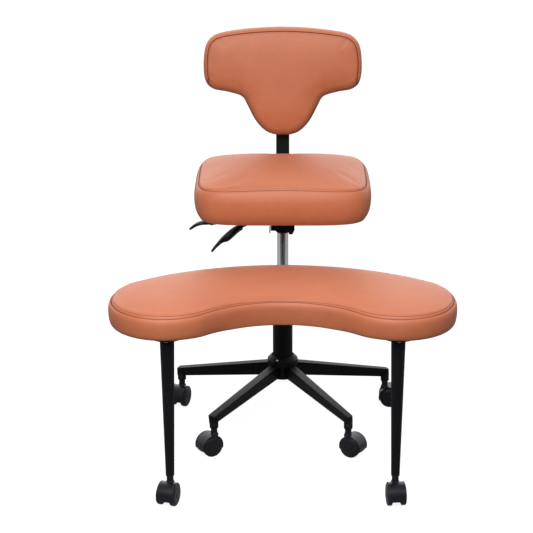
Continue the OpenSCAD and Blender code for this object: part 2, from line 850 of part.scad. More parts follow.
module bent_rod(path, r) {
    for (i = [0 : len(path) - 2]) rod_between(path[i], path[i + 1], r);
    for (i = [1 : len(path) - 2]) translate(path[i]) sphere(r = r + bend_swell, $fn = 32);
}

lever_stub = 14;
lever_out_x = tray_w / 2 + lever_stub;
// Height lever: reach to the side, drop, and sweep towards the front
height_reach = 171;
height_drop = 62;
height_sweep = 136;
// Tilt lever: reach to the side, and drop
tilt_reach = 233;
tilt_drop = 44;

// Bends of the two levers outside the tray, as shares of reach, sweep and drop
height_shares = [[0.46, -0.14, 0.56], [0.68, 0.02, 0.74], [0.8, 0.32, 0.83], [1, 1, 1]];
tilt_shares = [[0.55, 0, 0.42], [0.78, 0, 0.68], [0.88, 0, 0.64], [1, 0, 1]];

height_bends = [for (s = height_shares)
    [-s[0] * height_reach, -s[1] * height_sweep, lever_z - s[2] * height_drop]];
tilt_bends = [for (s = tilt_shares)
    [-s[0] * tilt_reach, tilt_lever_y, tilt_lever_z - s[2] * tilt_drop]];
height_lever_path = [
    [button_r + lever_d, 0, lever_z], [-lever_out_x, 0, lever_z], height_bends[0], height_bends[1]
];
tilt_lever_path = [
    [-tray_w / 2 + lever_d, tilt_lever_y, tilt_lever_z], [-lever_out_x, tilt_lever_y, tilt_lever_z],
    tilt_bends[1]
];

// Width and thickness of a grip at its root, middle and tip
grip_root = [13, 11];
grip_mid = [18, 7];
grip_tip = [8, 4];
grip_cover_share = 0.2;

module height_lever() {
    color(steel_black) bent_rod(height_lever_path, lever_d / 2);
}

module tilt_lever() {
    color(steel_black) bent_rod(tilt_lever_path, lever_d / 2);
}

module grip_section(at, size) {
    translate(at) linear_extrude(size[1], center = true) circle(d = size[0], $fn = 24);
}

// Flattened plastic grip pushed over the end of a rod
module lever_grip(bends, path) {
    root = bends[1] * (1 - grip_cover_share) + bends[0] * grip_cover_share;
    color(nylon_black) difference() {
        union() {
            hull() {
                grip_section(root, grip_root);
                grip_section(bends[1], grip_root);
            }
            hull() {
                grip_section(bends[1], grip_root);
                grip_section(bends[2], grip_mid);
            }
            hull() {
                grip_section(bends[2], grip_mid);
                grip_section(bends[3], grip_tip);
            }
        }
        bent_rod(path, lever_d / 2);
    }
}

module height_lever_grip() {
    lever_grip(height_bends, height_lever_path);
}

module tilt_lever_grip() {
    lever_grip(tilt_bends, tilt_lever_path);
}

// Back

bracket_gap = 0.3;
ear_t = 4;
fork_front = 16;
fork_rear = 60;
bar_rise = 2;
bracket_y0 = pivot_y - fork_front;
bracket_y1 = pivot_y + fork_rear;
ear_z = pivot_z - 2 * pin_r;
bar_z = pivot_z + bar_rise;

// Steel fork that turns on the pin and carries the bar between its cheeks
module back_bracket() {
    half = bar_w / 2 + bracket_gap;
    color(steel_black) difference() {
        union() {
            for (side = [-1, 1]) translate([side > 0 ? half : -half - ear_t, bracket_y0, ear_z])
                cube([ear_t, bracket_y1 - bracket_y0, bar_z + bar_t - ear_z]);
            translate([-half, pivot_y + 2 * pin_r, bar_z - ear_t])
                cube([2 * half, bracket_y1 - pivot_y - 2 * pin_r, ear_t]);
        }
        translate([0, pivot_y, pivot_z]) along_x(tray_w) cylinder(r = pin_r + turn_gap, h = tray_w);
    }
}

bar_y0 = pivot_y + 2 * pin_r + ear_t;
bend_mid_r = bend_r + bar_t / 2;
bend_steps = 12;
bend_z = bar_z + bar_t + bend_r;
// Where the upright leaves the bend, on the bar's middle plane
upright_y = bend_y + bend_mid_r * cos(back_lean);
upright_z = bend_z - bend_mid_r * sin(back_lean);

// Places children in the upright's own frame: Z runs up the bar, Y out of its back
module on_upright() {
    translate([0, upright_y, upright_z]) rotate([-back_lean, 0, 0]) children();
}

function along_upright(p) = p + upright_len * [sin(back_lean), cos(back_lean)];

// Flat bar, drawn from the side: under the seat, round the bend and up
module back_bar() {
    outer = concat(
        arc(bend_y, bend_z, bend_r + bar_t, -90, -back_lean, bend_steps),
        [[bend_y, bend_z] + (bend_r + bar_t) * [cos(back_lean), -sin(back_lean)]]
    );
    inner = concat(
        [[bend_y, bend_z] + bend_r * [cos(back_lean), -sin(back_lean)]],
        arc(bend_y, bend_z, bend_r, -back_lean, -90, bend_steps),
        [[bend_y, bend_z - bend_r]]
    );
    color(steel_black) translate([-bar_w / 2, 0, 0]) rotate([90, 0, 90]) linear_extrude(bar_w)
        polygon(concat(
            [[bar_y0, bar_z]], outer, [along_upright(outer[bend_steps])],
            [along_upright(inner[0])], inner, [[bar_y0, bar_z + bar_t]]
        ));
}

sleeve_t = 3;
knob_rise_share = 0.465;
knob_z = back_low + knob_rise_share * back_h;
carriage_low = knob_z - carriage_h / 2;
pad_w = 120;
pad_h = 96;
back_face = -bar_t / 2 - bracket_gap - sleeve_t;
knob_screw_d = 8;

module back_screws_at() {
    for (x = [-1, 1], z = [-1, 1]) translate([
        x * (pad_w / 2 - screw_inset), 0, knob_z + z * (pad_h / 2 - screw_inset)
    ]) rotate([90, 0, 0]) children();
}

// Steel sleeve on the bar with a plate for the backrest's board
module back_carriage() {
    inner_w = bar_w + 2 * bracket_gap;
    inner_t = bar_t + 2 * bracket_gap;
    color(steel_black) on_upright() difference() {
        union() {
            translate([-inner_w / 2 - sleeve_t, -inner_t / 2 - sleeve_t, carriage_low])
                cube([inner_w + 2 * sleeve_t, inner_t + 2 * sleeve_t, carriage_h]);
            translate([-pad_w / 2, back_face - sleeve_t, knob_z - pad_h / 2])
                cube([pad_w, sleeve_t, pad_h]);
            translate([0, inner_t / 2 + sleeve_t, knob_z]) rotate([-90, 0, 0])
                cylinder(d = 2 * knob_screw_d, h = sleeve_t);
        }
        translate([-inner_w / 2, -inner_t / 2, carriage_low - cut])
            cube([inner_w, inner_t, carriage_h + 2 * cut]);
        translate([0, inner_t / 2 - cut, knob_z]) rotate([-90, 0, 0])
            cylinder(d = knob_screw_d + 2 * turn_gap, h = 3 * sleeve_t);
        back_screws_at() cylinder_z(screw_d / 2, 0, -back_face + 2 * sleeve_t);
    }
}

// Half outline of the backrest from the middle of its top down to its foot, as
// shares of half the width and of the height
back_half_shares = [
    [0, 1], [0.26, 0.994], [0.54, 0.976], [0.79, 0.945], [0.91, 0.898], [0.975, 0.82],
    [1, 0.69], [0.995, 0.56], [0.955, 0.47], [0.86, 0.424], [0.7, 0.402], [0.52, 0.36],
    [0.45, 0.28], [0.385, 0.185], [0.308, 0.1], [0.2, 0.03], [0.07, 0], [0, 0]
];
back_smooth = 2;

function spline(a, b, c, d, t) = 0.5 * (
    2 * b + (c - a) * t + (2 * a - 5 * b + 4 * c - d) * t * t + (3 * b - a - 3 * c + d) * t * t * t
);
function mirrored(p) = [-p[0], p[1]];

// The right half smoothed between its points, without its last point
back_side = let (h = back_half_shares, n = len(h)) [for (i = [0 : n - 2], k = [0 : back_smooth - 1])
    let (
        before = i == 0 ? mirrored(h[1]) : h[i - 1],
        after = i == n - 2 ? mirrored(h[n - 2]) : h[i + 2],
        p = spline(before, h[i], h[i + 1], after, k / back_smooth)
    ) [p[0] * back_w / 2, back_low + p[1] * back_h]];
back_count = len(back_side);
// Left side downwards, then the right side upwards
back_outline = concat(
    [for (i = [0 : back_count - 1]) mirrored(back_side[i])],
    [[0, back_low]],
    [for (i = [back_count - 1 : -1 : 1]) back_side[i]]
);

// Lays a form drawn in X and Z flat against the board, its height towards the sitter
module facing_front(y) {
    on_upright() translate([0, y, 0]) rotate([90, 0, 0]) children();
}

board_face = back_face - sleeve_t;

// Plywood board with the four screws that hold it to the carriage's plate
module back_board() {
    color(plywood) difference() {
        facing_front(board_face)
            linear_extrude(back_board_t) polygon(drawn_in(back_outline, board_in));
        on_upright() back_screws_at()
            cylinder_z(screw_d / 2 + turn_gap, -board_face - cut, -board_face + back_board_t + cut);
    }
    color(steel_bright) on_upright() back_screws_at()
        pan_screw(-back_face, sleeve_t + back_board_t - turn_gap);
}

module back_cushion() {
    color(leather_tan) facing_front(board_face) difference() {
        pillow(
            back_outline, band_profile(0, back_cushion_t, back_crown),
            dome_share * back_crown, cushion_cols
        );
        translate([0, 0, -cut])
            linear_extrude(back_board_t + cut) polygon(drawn_in(back_outline, board_in));
    }
}

knob_lobes = 5;
knob_t = 14;

module back_knob() {
    color(nylon_black) on_upright() translate([0, bar_t / 2 + bracket_gap, knob_z]) rotate([-90, 0, 0]) {
        cylinder(d = knob_screw_d, h = 3 * sleeve_t + seat_gap);
        translate([0, 0, 3 * sleeve_t]) {
            cylinder(d = 0.8 * knob_d, h = knob_t);
            for (i = [0 : knob_lobes - 1]) rotate([0, 0, i * 360 / knob_lobes])
                translate([0.32 * knob_d, 0, 0]) cylinder(d = 0.36 * knob_d, h = knob_t);
        }
    }
}

star_base();
base_sockets();
column_tube();
guide_bush();
thrust_bearing();
stop_collar();
platform_bracket();
ring_bush();
platform_board();
platform_cushion();
left_leg();
right_leg();
leg_sockets();
platform_screws();
piston_rod();
gas_cylinder();
valve_button();
mechanism_plate();
seat_board();
seat_cushion();
seat_screws();
tilt_pin();
height_lever();
height_lever_grip();
tilt_lever();
tilt_lever_grip();
back_bracket();
back_bar();
back_carriage();
back_board();
back_cushion();
back_knob();
for (c = CASTERS) {
    caster_hood(c);
    caster_pins(c);
    caster_wheel(c, -1);
    caster_wheel(c, 1);
}
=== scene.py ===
"""Looks of a cross-legged office chair: a seat and backrest on a gas lift, and a padded
kidney-shaped platform that swings round the same column on its own two legs."""

import json
import math

import bmesh
import bpy
import numpy as np
from mathutils import Matrix, Vector
from mathutils.bvhtree import BVHTree


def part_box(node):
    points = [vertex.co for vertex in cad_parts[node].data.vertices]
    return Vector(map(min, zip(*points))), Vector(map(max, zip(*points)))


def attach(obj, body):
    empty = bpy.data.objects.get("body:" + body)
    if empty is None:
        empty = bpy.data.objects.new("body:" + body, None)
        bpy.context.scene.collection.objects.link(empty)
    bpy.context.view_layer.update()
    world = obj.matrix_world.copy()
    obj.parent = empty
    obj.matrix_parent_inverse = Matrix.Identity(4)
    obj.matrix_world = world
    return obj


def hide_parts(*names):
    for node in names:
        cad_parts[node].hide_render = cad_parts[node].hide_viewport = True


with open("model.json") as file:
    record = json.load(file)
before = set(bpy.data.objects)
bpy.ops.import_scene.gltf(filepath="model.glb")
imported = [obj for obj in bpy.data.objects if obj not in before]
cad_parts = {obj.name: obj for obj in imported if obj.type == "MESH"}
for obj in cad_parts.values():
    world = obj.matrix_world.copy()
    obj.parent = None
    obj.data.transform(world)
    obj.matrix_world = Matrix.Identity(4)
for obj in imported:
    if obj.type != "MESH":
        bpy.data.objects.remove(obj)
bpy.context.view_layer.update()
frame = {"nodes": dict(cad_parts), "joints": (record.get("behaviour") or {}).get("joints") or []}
nodes = frame["nodes"]
mm = 0.001

# Camera
# A long lens from standing height in front of the chair, looking down a little.
photo_px = 533
focal_px = 1701.5
column_px = 282.7
sensor_mm = 36
camera_away = 4.0435
camera_up = 1.7444
camera_dip = 18.3
camera_data = bpy.data.cameras.new("camera")
camera_data.sensor_width = sensor_mm
camera_data.lens = focal_px / photo_px * sensor_mm
camera_data.shift_x = (photo_px / 2 - column_px) / photo_px
camera = bpy.data.objects.new("camera", camera_data)
camera.location = (0, -camera_away, camera_up)
camera.rotation_euler = (math.radians(90 - camera_dip), 0, 0)
bpy.context.scene.collection.objects.link(camera)
bpy.context.scene.camera = camera
bpy.context.scene.view_settings.view_transform = "Standard"


# Studio
# A floor under a white sky, with a square soft lamp in front at the upper left and a weak
# fill from the right. The camera sees both white. The chair's gloss sees them white behind
# it and darker towards the camera, as a dim room would be.
class Wire:
    """A value in a node tree. Its operators add Math nodes, and node() adds any other."""

    def __init__(self, tree, socket=None):
        self.tree = tree
        self.socket = socket

    def node(self, kind, inputs=None, out=0, **settings):
        made = self.tree.nodes.new(kind)
        for name, value in settings.items():
            setattr(made, name, value)
        for key, value in (inputs or {}).items():
            if isinstance(value, Wire):
                self.tree.links.new(value.socket, made.inputs[key])
            else:
                made.inputs[key].default_value = value
        return Wire(self.tree, made.outputs[out] if made.outputs else None)

    def maths(self, operation, *terms):
        return self.node("ShaderNodeMath", dict(enumerate(terms)), operation=operation)

    def __add__(self, other):
        return self.maths("ADD", self, other)

    __radd__ = __add__

    def __sub__(self, other):
        return self.maths("SUBTRACT", self, other)

    def __rsub__(self, other):
        return self.maths("SUBTRACT", other, self)

    def __mul__(self, other):
        return self.maths("MULTIPLY", self, other)

    __rmul__ = __mul__

    def __abs__(self):
        return self.maths("ABSOLUTE", self)

    def step(self, low, high):
        """0 below low, 1 above high and a smooth rise between them."""
        return self.node(
            "ShaderNodeMapRange",
            {"Value": self, "From Min": low, "From Max": high},
            interpolation_type="SMOOTHSTEP",
        )

    def blend(self, first, second):
        """The colour first where this value is 0 and second where it is 1."""
        return self.node(
            "ShaderNodeMix", {0: self, 6: first, 7: second}, out=2, data_type="RGBA"
        )


world = bpy.data.worlds.new("studio")
bpy.context.scene.world = world
world.use_nodes = True
world.node_tree.nodes.clear()
sky = Wire(world.node_tree)
heading = sky.node("ShaderNodeTexCoord", out="Generated")
away = sky.node("ShaderNodeSeparateXYZ", {0: heading}, out="Y")
height = sky.node("ShaderNodeSeparateXYZ", {0: heading}, out="Z")
seen = sky.node("ShaderNodeLightPath", out="Is Camera Ray")
gloss = sky.node("ShaderNodeLightPath", out="Is Glossy Ray")
overhead = height.step(0.0, 0.9)
behind = away.step(0.1, 0.75)
facing = (0 - away).step(0.62, 0.82)
diffused = 0.07 + overhead * 0.48
mirrored = (0.5 + behind * 2 + height.step(0.45, 0.9) * 0.2) * (1 - facing * 0.6)
glow = diffused * (1 - gloss) + mirrored * gloss
backdrop = sky.node("ShaderNodeBackground", {"Color": (1, 1, 1, 1), "Strength": glow})
white = sky.node("ShaderNodeBackground", {"Color": (1, 1, 1, 1), "Strength": 1.0})
mixed = sky.node("ShaderNodeMixShader", {0: seen, 1: backdrop, 2: white})
sky.node("ShaderNodeOutputWorld", {"Surface": mixed})

key_data = bpy.data.lights.new("key", "AREA")
key_data.shape = "SQUARE"
key_data.size = 1.75
key_data.energy = 98
key = bpy.data.objects.new("key", key_data)
key.location = (-0.6, -2.8, 2.55)
chair_middle = Vector((0, -0.3, 0.5))
key.rotation_euler = (chair_middle - key.location).to_track_quat("-Z", "Y").to_euler()
bpy.context.scene.collection.objects.link(key)

fill_data = bpy.data.lights.new("fill", "SUN")
fill_data.energy = 0.3
fill_data.angle = math.radians(60)
fill = bpy.data.objects.new("fill", fill_data)
fill.rotation_euler = (math.radians(60), 0, math.radians(50))
bpy.context.scene.collection.objects.link(fill)

floor_half = 20
floor_mesh = bpy.data.meshes.new("floor")
bm = bmesh.new()
bmesh.ops.create_grid(bm, x_segments=1, y_segments=1, size=floor_half)
bm.to_mesh(floor_mesh)
bm.free()
floor = bpy.data.objects.new("floor", floor_mesh)
bpy.context.scene.collection.objects.link(floor)
floor_paint = bpy.data.materials.new("floor")
floor_paint.use_nodes = True
floor_paint.node_tree.nodes.clear()
paint = Wire(floor_paint.node_tree)
seen = paint.node("ShaderNodeLightPath", out="Is Camera Ray")
gloss = paint.node("ShaderNodeLightPath", out="Is Glossy Ray")
at = paint.node("ShaderNodeTexCoord", out="Object")
beyond = paint.node("ShaderNodeSeparateXYZ", {0: at}, out="Y").step(-1.2, -0.4)
glow = seen * 0.88 + gloss * 0.12
pale = paint.node("ShaderNodeBsdfDiffuse", {"Color": (0.34, 0.34, 0.34, 1)})
lit = paint.node("ShaderNodeEmission", {"Color": (1, 1, 1, 1), "Strength": glow})
both = paint.node("ShaderNodeAddShader", {0: pale, 1: lit})
dull = paint.node("ShaderNodeBsdfDiffuse", {"Color": (0.09, 0.09, 0.09, 1)})
either = paint.node("ShaderNodeMixShader", {0: seen + gloss * beyond, 1: dull, 2: both})
paint.node("ShaderNodeOutputMaterial", {"Surface": either})
floor_mesh.materials.append(floor_paint)


# Star base
# Five pressed steel arms welded to a hub tube, under a conical collar, all coated in
# satin black powder. Each arm ends in a round post for a caster.
def surface(name, build):
    """A material whose Principled inputs come from build(wire), a dictionary."""
    made = bpy.data.materials.new(name)
    made.use_nodes = True
    made.node_tree.nodes.clear()
    wire = Wire(made.node_tree)
    shader = wire.node("ShaderNodeBsdfPrincipled", build(wire))
    wire.node("ShaderNodeOutputMaterial", {"Surface": shader})
    return made


def powder_coat(wire):
    """Satin black powder with a faint orange peel."""
    at = wire.node("ShaderNodeTexCoord", out="Object")
    peel = wire.node("ShaderNodeTexNoise", {"Vector": at, "Scale": 900, "Detail": 2})
    cloud = wire.node("ShaderNodeTexNoise", {"Vector": at, "Scale": 9, "Detail": 3})
    return {
        "Base Color": cloud.blend((0.005, 0.0049, 0.0064, 1), (0.0078, 0.0076, 0.01, 1)),
        "Roughness": 0.46 + cloud * 0.1,
        "Specular IOR Level": 0.12,
        "Normal": wire.node(
            "ShaderNodeBump", {"Strength": 0.25, "Distance": 0.0002, "Height": peel}
        ),
    }


black_steel = surface("powder_black", powder_coat)


def as_piece(name, bm, material, body, slot, *stands_for):
    """Turns a bmesh into a smooth-shaded piece that rides on a body."""
    mesh = bpy.data.meshes.new(name)
    for face in bm.faces:
        face.smooth = True
    bm.to_mesh(mesh)
    bm.free()
    mesh.materials.append(material)
    piece = bpy.data.objects.new(name, mesh)
    bpy.context.scene.collection.objects.link(piece)
    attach(piece, body)
    if stands_for:
        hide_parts(*stands_for)
    return piece


def soften(piece, width, segments=2, angle=30):
    """Rounds a piece's edges and keeps its flat faces flat."""
    bevel = piece.modifiers.new("edges", "BEVEL")
    bevel.width = width
    bevel.segments = segments
    bevel.limit_method = "ANGLE"
    bevel.angle_limit = math.radians(angle)
    bevel.miter_outer = "MITER_ARC"
    piece.modifiers.new("shading", "WEIGHTED_NORMAL")


def turned(bm, profile, steps=64):
    """Spins a closed profile of (radius, height) points about Z."""
    loop = [bm.verts.new((r, 0, z)) for r, z in profile]
    edges = [bm.edges.new((a, b)) for a, b in zip(loop, loop[1:])]
    if min(profile[0][0], profile[-1][0]) > 0:
        edges.append(bm.edges.new((loop[-1], loop[0])))
    bmesh.ops.spin(
        bm, geom=loop + edges, cent=(0, 0, 0), axis=(0, 0, 1), angle=math.tau,
        steps=steps, use_merge=True,
    )
    bmesh.ops.remove_doubles(bm, verts=bm.verts, dist=0.01 * mm)
    bmesh.ops.recalc_face_normals(bm, faces=bm.faces)


base_low, base_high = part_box("star_base")
star_r = 278.5 * mm
star_turn = -1
star_angles = (90, 162, 234, 306, 18)
hub_r = 27 * mm
collar_r = 38.5 * mm
collar_top = base_high.z
collar_low = collar_top - 26 * mm
column_r = 25 * mm
hub_low = 112 * mm
post_r = 10.8 * mm
post_low = base_low.z
post_top = 92 * mm
post_rim = 0.6 * mm
arm_in = 20 * mm
arm_overhang = 9.6 * mm
root_half = 14 * mm
root_low = 116 * mm
root_tall = 38 * mm
root_foot_share = 0.55
tip_half = 9.4 * mm
tip_low = 78.5 * mm
tip_tall = 22 * mm
tip_foot_share = 0.75
tip_round = 6.6 * mm
arm_round = 2.6 * mm
clear_of_hub = hub_r + 5 * mm
bead_half_tall = 19.5 * mm
bead_half_wide = 13.6 * mm
bead_thick = 3 * mm
bead_proud = 0.5 * mm
bead_z = 134 * mm

bm = bmesh.new()
turned(bm, [
    (column_r, collar_top - 7 * mm), (column_r + 1.8 * mm, collar_top - 7 * mm),
    (column_r + 2 * mm, collar_top - 0.8 * mm), (column_r + 2.6 * mm, collar_top),
    (hub_r + 2.2 * mm, collar_top - 0.4 * mm), (collar_r - 1.6 * mm, collar_low + 17.2 * mm),
    (collar_r - 0.3 * mm, collar_low + 15.6 * mm), (collar_r, collar_low + 14 * mm),
    (collar_r, collar_low + 1.2 * mm), (collar_r - 1.2 * mm, collar_low), (hub_r, collar_low),
    (hub_r, hub_low + 1.6 * mm), (hub_r - 1.4 * mm, hub_low), (column_r - 3 * mm, hub_low),
    (column_r - 3 * mm, hub_low + 3 * mm),
])
for degrees in star_angles:
    turn = Matrix.Rotation(math.radians(degrees + star_turn), 4, "Z")
    arm = bmesh.ops.create_cube(bm, size=1)["verts"]
    for v in arm:
        outer, upper = v.co.x > 0, v.co.z > 0
        half = tip_half if outer else root_half
        if not upper:
            half *= tip_foot_share if outer else root_foot_share
        low = tip_low if outer else root_low
        tall = tip_tall if outer else root_tall
        v.co = turn @ Vector((
            star_r + arm_overhang if outer else arm_in,
            math.copysign(half, v.co.y),
            low + (tall if upper else 0),
        ))
    sides = {e for v in arm for e in v.link_edges}
    spans = [e for e in sides if (e.verts[0].co - e.verts[1].co).length > star_r / 2]
    tips = [
        e for e in sides
        if abs(e.verts[0].co.z - e.verts[1].co.z) > tip_tall / 2 and e.verts[0].co.xy.length > star_r / 2
        and e not in spans
    ]
    rounded = bmesh.ops.bevel(bm, geom=tips, offset=tip_round, segments=8, profile=0.5,
                              affect="EDGES", material=-1)["faces"]
    arm_faces = {f for v in arm if v.is_valid for f in v.link_faces} | set(rounded)
    arm_edges = {e for f in arm_faces for e in f.edges}
    crisp = [
        e for e in arm_edges
        if len(e.link_faces) == 2 and e.calc_face_angle() > math.radians(60)
        and max(v.co.xy.length for v in e.verts) > clear_of_hub
    ]
    bmesh.ops.bevel(bm, geom=crisp, offset=arm_round, segments=4, profile=0.5,
                    affect="EDGES", material=-1)
    post = bmesh.ops.create_cone(
        bm, cap_ends=True, segments=40, radius1=post_r, radius2=post_r, depth=1,
    )["verts"]
    for v in post:
        v.co.z = post_low if v.co.z < 0 else post_top
        v.co = turn @ (v.co + Vector((star_r, 0, 0)))
    low_rim = [
        e for e in {e for v in post for e in v.link_edges}
        if max(v.co.z for v in e.verts) < post_low + mm
    ]
    bmesh.ops.bevel(bm, geom=low_rim, offset=post_rim, segments=2, profile=0.5,
                    affect="EDGES", material=-1)
    # Weld bead where the arm meets the hub
    bead = bmesh.ops.create_cone(
        bm, cap_ends=True, segments=24, radius1=1, radius2=1, depth=bead_thick,
    )["verts"]
    squash_bead = Matrix.Diagonal((bead_half_tall, bead_half_wide, 1, 1))
    stand = Matrix.Rotation(math.pi / 2, 4, "Y")
    place = Matrix.Translation((hub_r + bead_proud, 0, bead_z))
    bmesh.ops.transform(bm, matrix=turn @ place @ stand @ squash_bead, verts=bead)
star = as_piece("star_base_shell", bm, black_steel, "base", "powder_black", "star_base")
star.modifiers.new("shading", "WEIGHTED_NORMAL").mode = "FACE_AREA_WITH_ANGLE"
for polygon in star.data.polygons:
    polygon.use_smooth = True
star.data.set_sharp_from_angle(angle=math.radians(35))

# Collar screw
# A small zinc grub screw locks the collar to the hub tube, a little left of the front.
screw_out = 34.6 * mm
screw_z = 166.4 * mm
screw_turn = Matrix.Rotation(math.radians(-113), 4, "Z")
screw_lean = Matrix.Rotation(math.radians(48), 4, "Y")
bm = bmesh.new()
turned(bm, [
    (0, 0), (2.6 * mm, 0), (2.6 * mm, 1.2 * mm), (1.9 * mm, 1.9 * mm), (1.2 * mm, 2.1 * mm),
    (1.1 * mm, 1.2 * mm), (0, 1.2 * mm),
], steps=24)
place = Matrix.Translation((screw_out, 0, screw_z))
bmesh.ops.transform(bm, matrix=screw_turn @ place @ screw_lean, verts=bm.verts)


def zinc(wire):
    """Zinc plate, slightly spotted."""
    at = wire.node("ShaderNodeTexCoord", out="Object")
    spots = wire.node("ShaderNodeTexNoise", {"Vector": at, "Scale": 300, "Detail": 3})
    return {
        "Base Color": spots.blend((0.62, 0.63, 0.66, 1), (0.78, 0.79, 0.8, 1)),
        "Metallic": 1.0,
        "Roughness": 0.2 + spots * 0.15,
    }


bright_steel = surface("bright_steel", zinc)
as_piece("collar_screw", bm, bright_steel, "base", "bright_steel")


# Column tube, stop collar and the rest of the plain steelwork
# Tubes, plates and brackets keep the frame's shape. Each is copied with its edges
# slightly rounded, as powder leaves them.
def rounded_copy(node, material, body, slot, width, segments=2, angle=30):
    """A copy of a CAD node with its edges rounded, as a piece that stands for it."""
    bm = bmesh.new()
    bm.from_mesh(nodes[node].data)
    bmesh.ops.remove_doubles(bm, verts=bm.verts, dist=0.01 * mm)
    bmesh.ops.dissolve_limit(
        bm, angle_limit=math.radians(0.5), verts=bm.verts, edges=bm.edges
    )
    piece = as_piece(node + "_finished", bm, material, body, slot, node)
    soften(piece, width, segments, angle)
    return piece


def moulded_nylon(wire):
    """Black nylon from a spark-eroded mould."""
    at = wire.node("ShaderNodeTexCoord", out="Object")
    spark = wire.node("ShaderNodeTexNoise", {"Vector": at, "Scale": 1400, "Detail": 2})
    cloud = wire.node("ShaderNodeTexNoise", {"Vector": at, "Scale": 25, "Detail": 2})
    return {
        "Base Color": cloud.blend((0.0065, 0.0062, 0.0105, 1), (0.0105, 0.01, 0.0165, 1)),
        "Roughness": 0.3 + cloud * 0.1,
        "Specular IOR Level": 0.26,
        "Normal": wire.node(
            "ShaderNodeBump", {"Strength": 0.3, "Distance": 0.0002, "Height": spark}
        ),
    }


nylon = surface("nylon_black", moulded_nylon)


def plain_acetal(wire):
    """White acetal with fine rings from the lathe."""
    at = wire.node("ShaderNodeTexCoord", out="Object")
    rings = wire.node(
        "ShaderNodeTexWave", {"Vector": at, "Scale": 160, "Distortion": 0.4},
        bands_direction="Z",
    )
    return {
        "Base Color": (0.72, 0.7, 0.65, 1),
        "Roughness": 0.4 + rings * 0.1,
        "Normal": wire.node(
            "ShaderNodeBump", {"Strength": 0.1, "Distance": 0.0001, "Height": rings}
        ),
    }


acetal = surface("bush_white", plain_acetal)

for node, body, width in (
    ("column_tube", "base", 0.5),
    ("stop_collar", "base", 0.8),
    ("platform_bracket", "platform", 1.0),
    ("mechanism_plate", "seat", 0.7),
    ("back_bracket", "back", 0.7),
    ("back_bar", "back", 1.2),
    ("back_carriage", "backrest", 0.8),
    ("left_leg", "platform", 0.5),
    ("right_leg", "platform", 0.5),
):
    rounded_copy(node, black_steel, body, "powder_black", width * mm)
for node, body in (("base_sockets", "base"), ("leg_sockets", "platform"), ("guide_bush", "base")):
    rounded_copy(node, nylon, body, "nylon_black", 0.4 * mm)
rounded_copy("ring_bush", acetal, "platform", "bush_white", 0.5 * mm)
for node, body in (
    ("platform_screws", "platform"), ("seat_screws", "seat"), ("tilt_pin", "seat"),
):
    rounded_copy(node, bright_steel, body, "bright_steel", 0.5 * mm)
for node in ("thrust_bearing", "piston_rod", "valve_button"):
    nodes[node].data.materials.clear()
    nodes[node].data.materials.append(bright_steel)


# Lift cylinder
# A drawn steel tube, ground and chromed to a mirror.
def chrome_plate(wire):
    """Mirror chrome with a slight haze."""
    at = wire.node("ShaderNodeTexCoord", out="Object")
    haze = wire.node("ShaderNodeTexNoise", {"Vector": at, "Scale": 60, "Detail": 4})
    return {
        "Base Color": (0.83, 0.83, 0.86, 1),
        "Metallic": 1.0,
        "Roughness": 0.07 + haze * 0.05,
    }


chrome = surface("chrome", chrome_plate)
rounded_copy("gas_cylinder", chrome, "seat", "chrome", 0.6 * mm)

# Casters
# Twin-wheel casters of black nylon: a hood with rims over a web that holds the axle,
# a neck round the swivel stem, and two wheels with dished faces and a hub cap.
caster_names = ("rear", "left", "front_left", "front_right", "right", "leg_left", "leg_right")
wheel_r = 26 * mm
trail = 14 * mm
web_half = 10 * mm
web_r = 18.5 * mm
crown_r = 27.4 * mm
crown_thick = 1.6 * mm
crown_low = -6 * mm
wheel_gap = 0.5 * mm
sideways = Matrix.Rotation(math.pi / 2, 4, "Y")

hood = bmesh.new()
section = [
    hood.verts.new((x * mm, 0, r * mm)) for x, r in (
        (-19.5, 26.8), (-19.5, 28.2), (-19.1, 28.8), (-17.9, 28.8), (-17.4, 28.3), (-9, 28.5), (0, 28.6),
        (9, 28.5), (17.4, 28.3), (17.9, 28.8), (19.1, 28.8), (19.5, 28.2), (19.5, 26.8), (0, 26.8),
    )
]
rim = [hood.edges.new((a, b)) for a, b in zip(section, section[1:] + section[:1])]
skirt = math.radians(108)
bmesh.ops.rotate(hood, verts=section, cent=(0, 0, 0), matrix=Matrix.Rotation(-skirt, 3, "X"))
bmesh.ops.spin(
    hood, geom=section + rim, cent=(0, 0, 0), axis=(1, 0, 0), angle=2 * skirt, steps=40
)
bmesh.ops.holes_fill(hood, edges=hood.edges)
bmesh.ops.create_cone(
    hood, cap_ends=True, segments=48, radius1=web_r, radius2=web_r, depth=2 * web_half,
    matrix=sideways,
)
for side in (-1, 1):
    place = Matrix.Translation((side * (web_half - crown_thick / 2), 0, 0))
    crown = bmesh.ops.create_cone(
        hood, cap_ends=True, segments=40, radius1=crown_r, radius2=crown_r, depth=crown_thick,
        matrix=place @ sideways,
    )["verts"]
    for v in crown:
        v.co.z = max(v.co.z, crown_low)
bmesh.ops.translate(hood, verts=hood.verts, vec=(0, -trail, wheel_r))
neck = bmesh.new()
turned(neck, [
    (5.7 * mm, 30 * mm), (9 * mm, 30 * mm), (10.5 * mm, 50.5 * mm), (9 * mm, 53.6 * mm),
    (8.3 * mm, 54.6 * mm), (8 * mm, 56 * mm), (8 * mm, 64.6 * mm), (7.4 * mm, 65.6 * mm),
    (5.7 * mm, 65.8 * mm),
], steps=40)
neck_mesh = bpy.data.meshes.new("neck")
neck.to_mesh(neck_mesh)
neck.free()
hood.from_mesh(neck_mesh)
bmesh.ops.recalc_face_normals(hood, faces=hood.faces)
hood_mesh = bpy.data.meshes.new("hood")
hood.to_mesh(hood_mesh)
hood.free()

